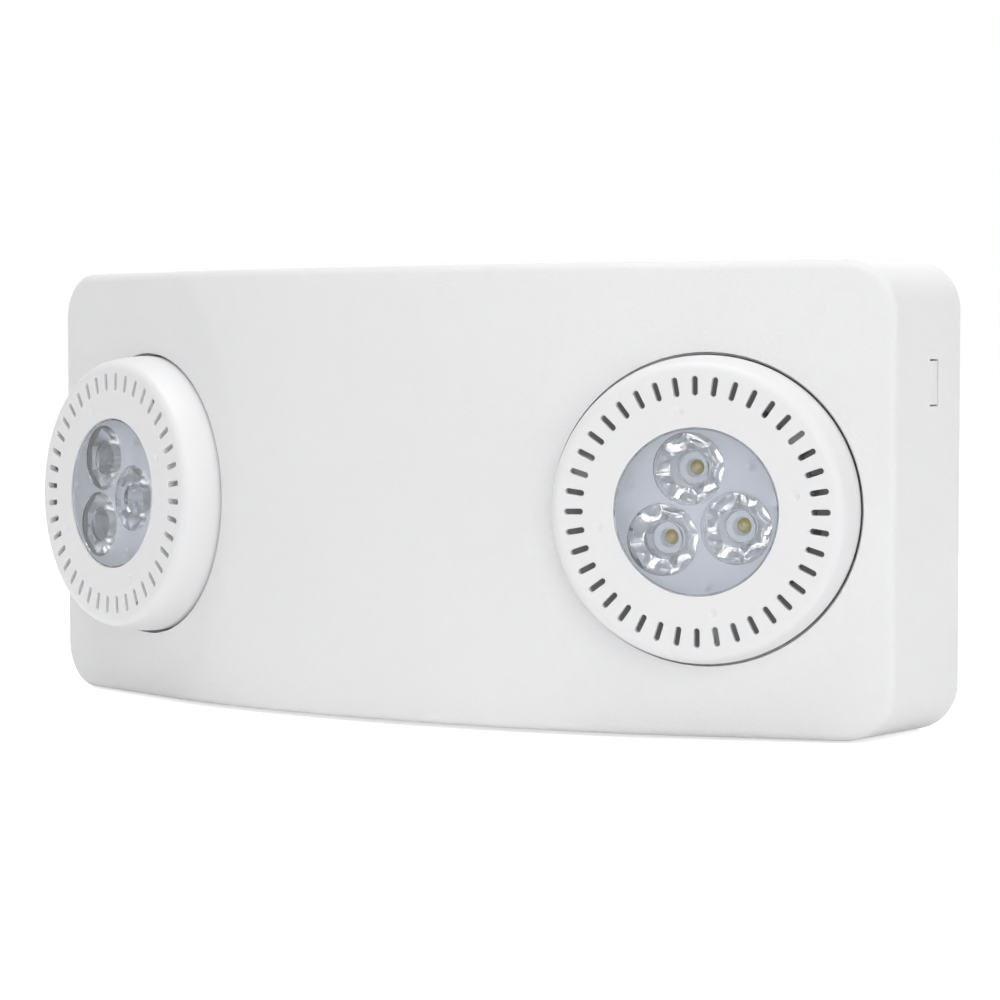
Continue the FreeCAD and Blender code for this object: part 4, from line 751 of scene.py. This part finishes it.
def turned(name, section, steps=SPIN_STEPS, at=(0.0, 0.0)):
    """Spins a section of (radius, height) points, from axis to axis, round a vertical axis."""
    mesh = bpy.data.meshes.new(name)
    points = [(radius, 0, height) for radius, height in section]
    mesh.from_pydata(points, [(i, i + 1) for i in range(len(points) - 1)], [])
    piece = bpy.data.objects.new(name, mesh)
    bpy.context.scene.collection.objects.link(piece)
    pick(piece)
    bpy.ops.object.mode_set(mode="EDIT")
    bpy.ops.mesh.select_all(action="SELECT")
    bpy.ops.mesh.spin(steps=steps, angle=2 * math.pi, center=(0, 0, 0), axis=(0, 0, 1))
    bpy.ops.mesh.select_all(action="SELECT")
    bpy.ops.mesh.remove_doubles(threshold=MERGE_DISTANCE)
    bpy.ops.mesh.normals_make_consistent(inside=False)
    bpy.ops.object.mode_set(mode="OBJECT")
    piece.data.transform(Matrix.Translation((*at, 0)))
    return piece


print("a turned shape has", SPIN_STEPS, "steps")

# %% Places on the lamp face, and booleans
LENS_CIRCLE = 11.9
LENS_ANGLES = (0, 120, 240)


def around(angle, radius):
    """A place at an angle from local +Y, as the lamp face is laid out."""
    return (-radius * math.sin(math.radians(angle)), radius * math.cos(math.radians(angle)))


def combine(piece, operation, *others):
    """Joins or cuts the piece with others, and removes the others."""
    for other in others:
        modifier = piece.modifiers.new("boolean", "BOOLEAN")
        modifier.operation = operation
        modifier.solver = "EXACT"
        modifier.object = other
        pick(piece)
        bpy.ops.object.modifier_apply(modifier=modifier.name)
        bpy.data.objects.remove(other)
    return piece


print("lenses at", [tuple(round(v, 2) for v in around(a, LENS_CIRCLE)) for a in LENS_ANGLES])

# %% [markdown]
# ### One collimator
# The bowl's wall isn't quite round: eight flats are moulded into it, which break the lamp's square
# image into an even patch. They are cut by bisecting the bowl with leaning planes, so that they
# meet in corners at the rim and fade out lower down.

# %% One collimator
FOOT_HEIGHT, FOOT_RADIUS = 0.6, 4.4
DISC_BACK, DISC_FRONT = 10.0, 13.3
LENS_RADIUS = 9.9
BOWL_TOP = DISC_FRONT - 1.0
WALL_STEPS = 18
FLAT_COUNT, FLAT_REACH = 8, 9.1
FLAT_LEAN = math.radians(23)


def wall_radius(height):
    """Parabola through the rim of the foot and the rim of the lens."""
    share = (LENS_RADIUS ** 2 - FOOT_RADIUS ** 2) / (DISC_BACK - FOOT_HEIGHT)
    return math.sqrt(FOOT_RADIUS ** 2 + share * (height - FOOT_HEIGHT))


def collimator(name):
    """Solid bowl with flats on its wall."""
    rise = DISC_BACK - FOOT_HEIGHT
    heights = [FOOT_HEIGHT + rise * (k / WALL_STEPS) for k in range(WALL_STEPS + 1)]
    wall = [(wall_radius(h), h) for h in heights]
    bowl = turned(name, [(0, FOOT_HEIGHT)] + wall + [(LENS_RADIUS, BOWL_TOP), (0, BOWL_TOP)])
    pick(bowl)
    bpy.ops.object.mode_set(mode="EDIT")
    for k in range(FLAT_COUNT):
        turn = math.radians(360 * (k + 0.5) / FLAT_COUNT)
        out = Vector((math.cos(turn) * math.cos(FLAT_LEAN), math.sin(turn) * math.cos(FLAT_LEAN),
                      -math.sin(FLAT_LEAN)))
        spot = (FLAT_REACH * math.cos(turn), FLAT_REACH * math.sin(turn), DISC_BACK)
        bpy.ops.mesh.select_all(action="SELECT")
        bpy.ops.mesh.bisect(plane_co=spot, plane_no=out, use_fill=True, clear_outer=True)
    bpy.ops.object.mode_set(mode="OBJECT")
    return bowl


sample = collimator("collimator")
print("a collimator has", len(sample.data.polygons), "faces")
bpy.data.objects.remove(sample)

# %% [markdown]
# ### Wells
# The front of each collimator is a polished face, sunk a little below the frosted front, with a
# round well in it. The well narrows to a groove, and its floor has fine turned steps round a raised
# lens, which gathers the light that misses the wall. All of it is one turned cutter.

# %% Wells
FROST_FACE = DISC_FRONT - 0.1
LENS_FACE = DISC_FRONT - 0.35
LENS_BEVEL = 0.08
WELL_MOUTH, WELL_RADIUS, WELL_FLOOR = 5.2, 4.6, 5.8
MOUTH_BEVEL, MOUTH_DROP = 0.1, 0.15
GROOVE_DEPTH, GROOVE_DRAFT = 0.5, 0.05
WELL_STAND = 4.3
WELL_STEPS = ((3.9, 0.15), (3.4, 0.3), (3.0, 0.45))
WELL_LENS_RADIUS, WELL_LENS_RISE, WELL_LENS_STEPS = 2.7, 0.8, 10
PAST = 1


def well(name, at):
    """A cutter: the lens face, the well's cone, its groove, the stepped floor and the lens."""
    groove = WELL_FLOOR - GROOVE_DEPTH
    section = [(0, DISC_FRONT + PAST), (LENS_RADIUS + LENS_BEVEL, DISC_FRONT + PAST),
               (LENS_RADIUS + LENS_BEVEL, DISC_FRONT), (LENS_RADIUS - LENS_BEVEL, LENS_FACE),
               (WELL_MOUTH + MOUTH_BEVEL, LENS_FACE), (WELL_MOUTH, LENS_FACE - MOUTH_DROP),
               (WELL_RADIUS, groove), (WELL_STAND + GROOVE_DRAFT, groove), (WELL_STAND, WELL_FLOOR)]
    level = WELL_FLOOR
    for radius, depth in WELL_STEPS:
        section += [(radius, level), (radius, WELL_FLOOR - depth)]
        level = WELL_FLOOR - depth
    section.append((WELL_LENS_RADIUS, level))
    for k in range(1, WELL_LENS_STEPS + 1):
        radius = WELL_LENS_RADIUS * (1 - k / WELL_LENS_STEPS)
        section.append((radius, level + WELL_LENS_RISE * (1 - (radius / WELL_LENS_RADIUS) ** 2)))
    return turned(name, section, at=at)


print("well floor", WELL_FLOOR, "mm up, lens face", LENS_FACE, "mm up")

# %% [markdown]
# ### Pockets
# The pocket in a collimator's foot leaves room for the chip's dome. It narrows a little, so that
# the moulding comes off its core, and its roof is domed to spread the light over the bowl.

# %% Pockets
POCKET_RADIUS, POCKET_ROOF = 2.9, 3.4
POCKET_DRAFT, POCKET_DOME, POCKET_STEPS = 0.15, 0.5, 8


def pocket(name, at):
    """A cutter: the drafted wall and the domed roof."""
    section = [(0, FOOT_HEIGHT - PAST), (POCKET_RADIUS, FOOT_HEIGHT - PAST),
               (POCKET_RADIUS - POCKET_DRAFT, POCKET_ROOF)]
    for k in range(1, POCKET_STEPS + 1):
        radius = (POCKET_RADIUS - POCKET_DRAFT) * (1 - k / POCKET_STEPS)
        section.append((radius, POCKET_ROOF + POCKET_DOME * (1 - (radius / POCKET_RADIUS) ** 2)))
    return turned(name, section, at=at)


print("pocket roof", POCKET_ROOF, "mm up")

# %% [markdown]
# ### Pegs and sink marks
# Three pegs stand the optic on the lamp board. Where a thick peg meets the disc, the plastic
# shrinks as it cools and leaves a soft hollow in the front, a sink mark. Its profile has no edge at
# the rim, so it shows only as a faint cloud.

# %% Pegs and sink marks
PEG_CIRCLE, PEG_RADIUS, PEG_TURN = 19.9, 1.4, 60
PEG_FOOT, PEG_BEVEL, PEG_ROOT = 0.4, 0.2, DISC_BACK + 0.7
MARK_RADIUS, MARK_DEPTH, MARK_STEPS = 2.0, 0.5, 12
SMALL_SPIN_STEPS = 32


def peg(name, at):
    section = [(0, PEG_FOOT), (PEG_RADIUS - PEG_BEVEL, PEG_FOOT),
               (PEG_RADIUS, PEG_FOOT + PEG_BEVEL), (PEG_RADIUS, PEG_ROOT), (0, PEG_ROOT)]
    return turned(name, section, steps=SMALL_SPIN_STEPS, at=at)


def sink_mark(name, at):
    """A cutter: the soft hollow in the face in front of a peg."""
    section = [(0, FROST_FACE + PAST), (MARK_RADIUS, FROST_FACE + PAST), (MARK_RADIUS, FROST_FACE)]
    for k in range(1, MARK_STEPS + 1):
        share = 1 - k / MARK_STEPS
        section.append((MARK_RADIUS * share, FROST_FACE - MARK_DEPTH * (1 - share ** 2) ** 2))
    return turned(name, section, steps=SMALL_SPIN_STEPS, at=at)


print("pegs on a circle of", PEG_CIRCLE, "mm radius")

# %% [markdown]
# ### The whole optic
# The disc has a flange that the shell holds, and a raised rim at the edge of its window. The bowls
# and pegs are joined to it first, and then the wells, pockets and sink marks are cut.

# %% The whole optic
FLANGE_RADIUS, FLANGE_FRONT = 25.0, 11.4
WINDOW_RADIUS, WINDOW_BEVEL = 22.85, 0.2
RIM_WIDTH, RIM_SLOPE = 0.42, 0.1
DISC_STEPS = 128


def optic_body(name):
    rim = WINDOW_RADIUS - RIM_WIDTH
    disc = turned(name, [(0, DISC_BACK), (FLANGE_RADIUS, DISC_BACK), (FLANGE_RADIUS, FLANGE_FRONT),
                         (WINDOW_RADIUS, FLANGE_FRONT), (WINDOW_RADIUS, DISC_FRONT - WINDOW_BEVEL),
                         (WINDOW_RADIUS - WINDOW_BEVEL, DISC_FRONT), (rim + RIM_SLOPE, DISC_FRONT),
                         (rim, FROST_FACE), (0, FROST_FACE)], steps=DISC_STEPS)
    for angle in LENS_ANGLES:
        lens_at, peg_at = around(angle, LENS_CIRCLE), around(angle + PEG_TURN, PEG_CIRCLE)
        bowl = collimator("bowl")
        bowl.data.transform(Matrix.Translation((*lens_at, 0)))
        combine(disc, "UNION", bowl)
        combine(disc, "UNION", peg("peg", peg_at))
        combine(disc, "DIFFERENCE", well("well", lens_at), pocket("pocket", lens_at),
                sink_mark("mark", peg_at))
    return disc


OPTIC = optic_body("optic_master")
print("optic:", len(OPTIC.data.polygons), "faces")

# %% [markdown]
# ### Where the optic is frosted
# The mould is polished for the lenses and left matt elsewhere. Each face's place and normal tell
# what it belongs to: the frosted front, a well's pale floor, or a hazy wall. The rest stays clear.

# %% Frost the optic
OPTIC_FINISHES = (CLEAR, FROSTED, PALE, HAZED)
IS_FROSTED, IS_PALE, IS_HAZED = 1, 2, 3
FACES_FRONT, FACES_BACK = 0.9, -0.05
WALL_FROM = POCKET_RADIUS + 0.5
OPTIC_EDGE_ANGLE = 20.0


def frost(piece):
    """Gives each face of the optic its finish, and counts the frosted and pale ones."""
    piece.data.materials.clear()
    for material in OPTIC_FINISHES:
        piece.data.materials.append(material)
    count = 0
    for face in piece.data.polygons:
        middle = face.center
        from_lens = min((middle.xy - Vector(around(a, LENS_CIRCLE))).length for a in LENS_ANGLES)
        on_front = FROST_FACE - MARK_DEPTH < middle.z < FROST_FACE + TOUCH
        on_face = on_front and from_lens > LENS_RADIUS + LENS_BEVEL + TOUCH
        on_floor = (WELL_LENS_RADIUS < from_lens < WELL_STAND
                    and abs(middle.z - WELL_FLOOR) < GROOVE_DEPTH)
        on_wall = WALL_FROM < from_lens < LENS_RADIUS
        on_wall = on_wall and FOOT_HEIGHT < middle.z < DISC_BACK
        on_cone = WELL_STAND + GROOVE_DRAFT + TOUCH < from_lens < WELL_MOUTH
        on_cone = on_cone and WELL_FLOOR < middle.z < LENS_FACE - MOUTH_DROP
        if (on_face or on_floor) and face.normal.z > FACES_FRONT:
            face.material_index = IS_FROSTED if on_face else IS_PALE
            count += 1
        elif on_cone or (on_wall and face.normal.z < FACES_BACK):
            face.material_index = IS_HAZED
    return count


print("frosted and pale faces:", frost(OPTIC))
smooth(OPTIC, OPTIC_EDGE_ANGLE)

# %% [markdown]
# ### An optic for each head
# The two heads hold the same moulding. Both could share one mesh, but each piece needs its place in
# its own mesh, so the master is copied with its mesh, which is then carried to the head.

# %% Place the optics


def place_copy(master, name, side, slot, *nodes):
    """A copy of a master in millimetres, carried to a head."""
    piece = master.copy()
    piece.data = master.data.copy()
    piece.name = name
    bpy.context.scene.collection.objects.link(piece)
    piece.data.transform(HEAD_PLACE[side])
    seat(piece, side + "_head", slot, *nodes)
    return piece


for side in SIDES:
    piece = place_copy(OPTIC, side + "_optic_body", side, "window", side + "_optic")
    print(piece.name, "is", round(max(piece.dimensions) / MM, 1), "mm across")
bpy.data.objects.remove(OPTIC)

# %% [markdown]
# ## The lamp chips
# Each chip is a white ceramic block with a round yellow phosphor in its top and a clear dome over
# both. The dome magnifies the phosphor, so the yellow fills the lens in front of it. The block is
# a bevelled cube, and the other two are turned and joined to it.

# %% Chips
CHIP_SIZE, CHIP_BASE, CHIP_TOP = 3.4, 0.4, 1.4
CHIP_EDGE = 0.15
PHOSPHOR_RADIUS, PHOSPHOR_FOOT, PHOSPHOR_TOP = 1.5, CHIP_BASE + 0.2, CHIP_TOP + 0.02
DOME_RADIUS, DOME_FOOT = 1.65, CHIP_TOP + 0.03
DOME_STEPS, CHIP_SPIN_STEPS = 12, 48
CHIP_EDGE_ANGLE = 30.0


def chip(name, at):
    """A block, a phosphor and a dome, joined, at a place on the lamp face."""
    bpy.ops.mesh.primitive_cube_add(size=1, location=(0, 0, 0))
    piece = bpy.context.object
    piece.name = name
    piece.data.transform(Matrix.Diagonal((CHIP_SIZE, CHIP_SIZE, CHIP_TOP - CHIP_BASE, 1)))
    piece.data.transform(Matrix.Translation((0, 0, (CHIP_TOP + CHIP_BASE) / 2)))
    pick(piece)
    bpy.ops.object.mode_set(mode="EDIT")
    bpy.ops.mesh.select_all(action="SELECT")
    bpy.ops.mesh.bevel(offset=CHIP_EDGE, segments=2, affect="EDGES")
    bpy.ops.object.mode_set(mode="OBJECT")
    piece.data.materials.append(CERAMIC)
    phosphor = turned("phosphor", [(0, PHOSPHOR_FOOT), (PHOSPHOR_RADIUS, PHOSPHOR_FOOT),
                                   (PHOSPHOR_RADIUS, PHOSPHOR_TOP), (0, PHOSPHOR_TOP)],
                      steps=CHIP_SPIN_STEPS)
    phosphor.data.materials.append(FINISH["chips"])
    arc = [math.radians(90 * k / DOME_STEPS) for k in range(DOME_STEPS)]
    bow = [(DOME_RADIUS * math.cos(a), DOME_FOOT + DOME_RADIUS * math.sin(a)) for a in arc]
    dome = turned("dome", [(0, DOME_FOOT)] + bow + [(0, DOME_FOOT + DOME_RADIUS)],
                  steps=CHIP_SPIN_STEPS)
    dome.data.materials.append(CLEAR)
    pick(piece, phosphor, dome)
    bpy.ops.object.join()
    piece.data.transform(Matrix.Translation((*at, 0)))
    return piece


pick(*[chip("chip", around(angle, LENS_CIRCLE)) for angle in LENS_ANGLES])
bpy.ops.object.join()
CHIPS = bpy.context.object
smooth(CHIPS, CHIP_EDGE_ANGLE)
print("three chips have", len(CHIPS.data.polygons), "faces")

# %% [markdown]
# ### Chips for each head
# They are copied and carried to the heads in the same way as the optic.

# %% Place the chips
for side in SIDES:
    piece = place_copy(CHIPS, side + "_chips_body", side, "chips", side + "_lamp_chips")
    print(piece.name, [m.name for m in piece.data.materials])
bpy.data.objects.remove(CHIPS)
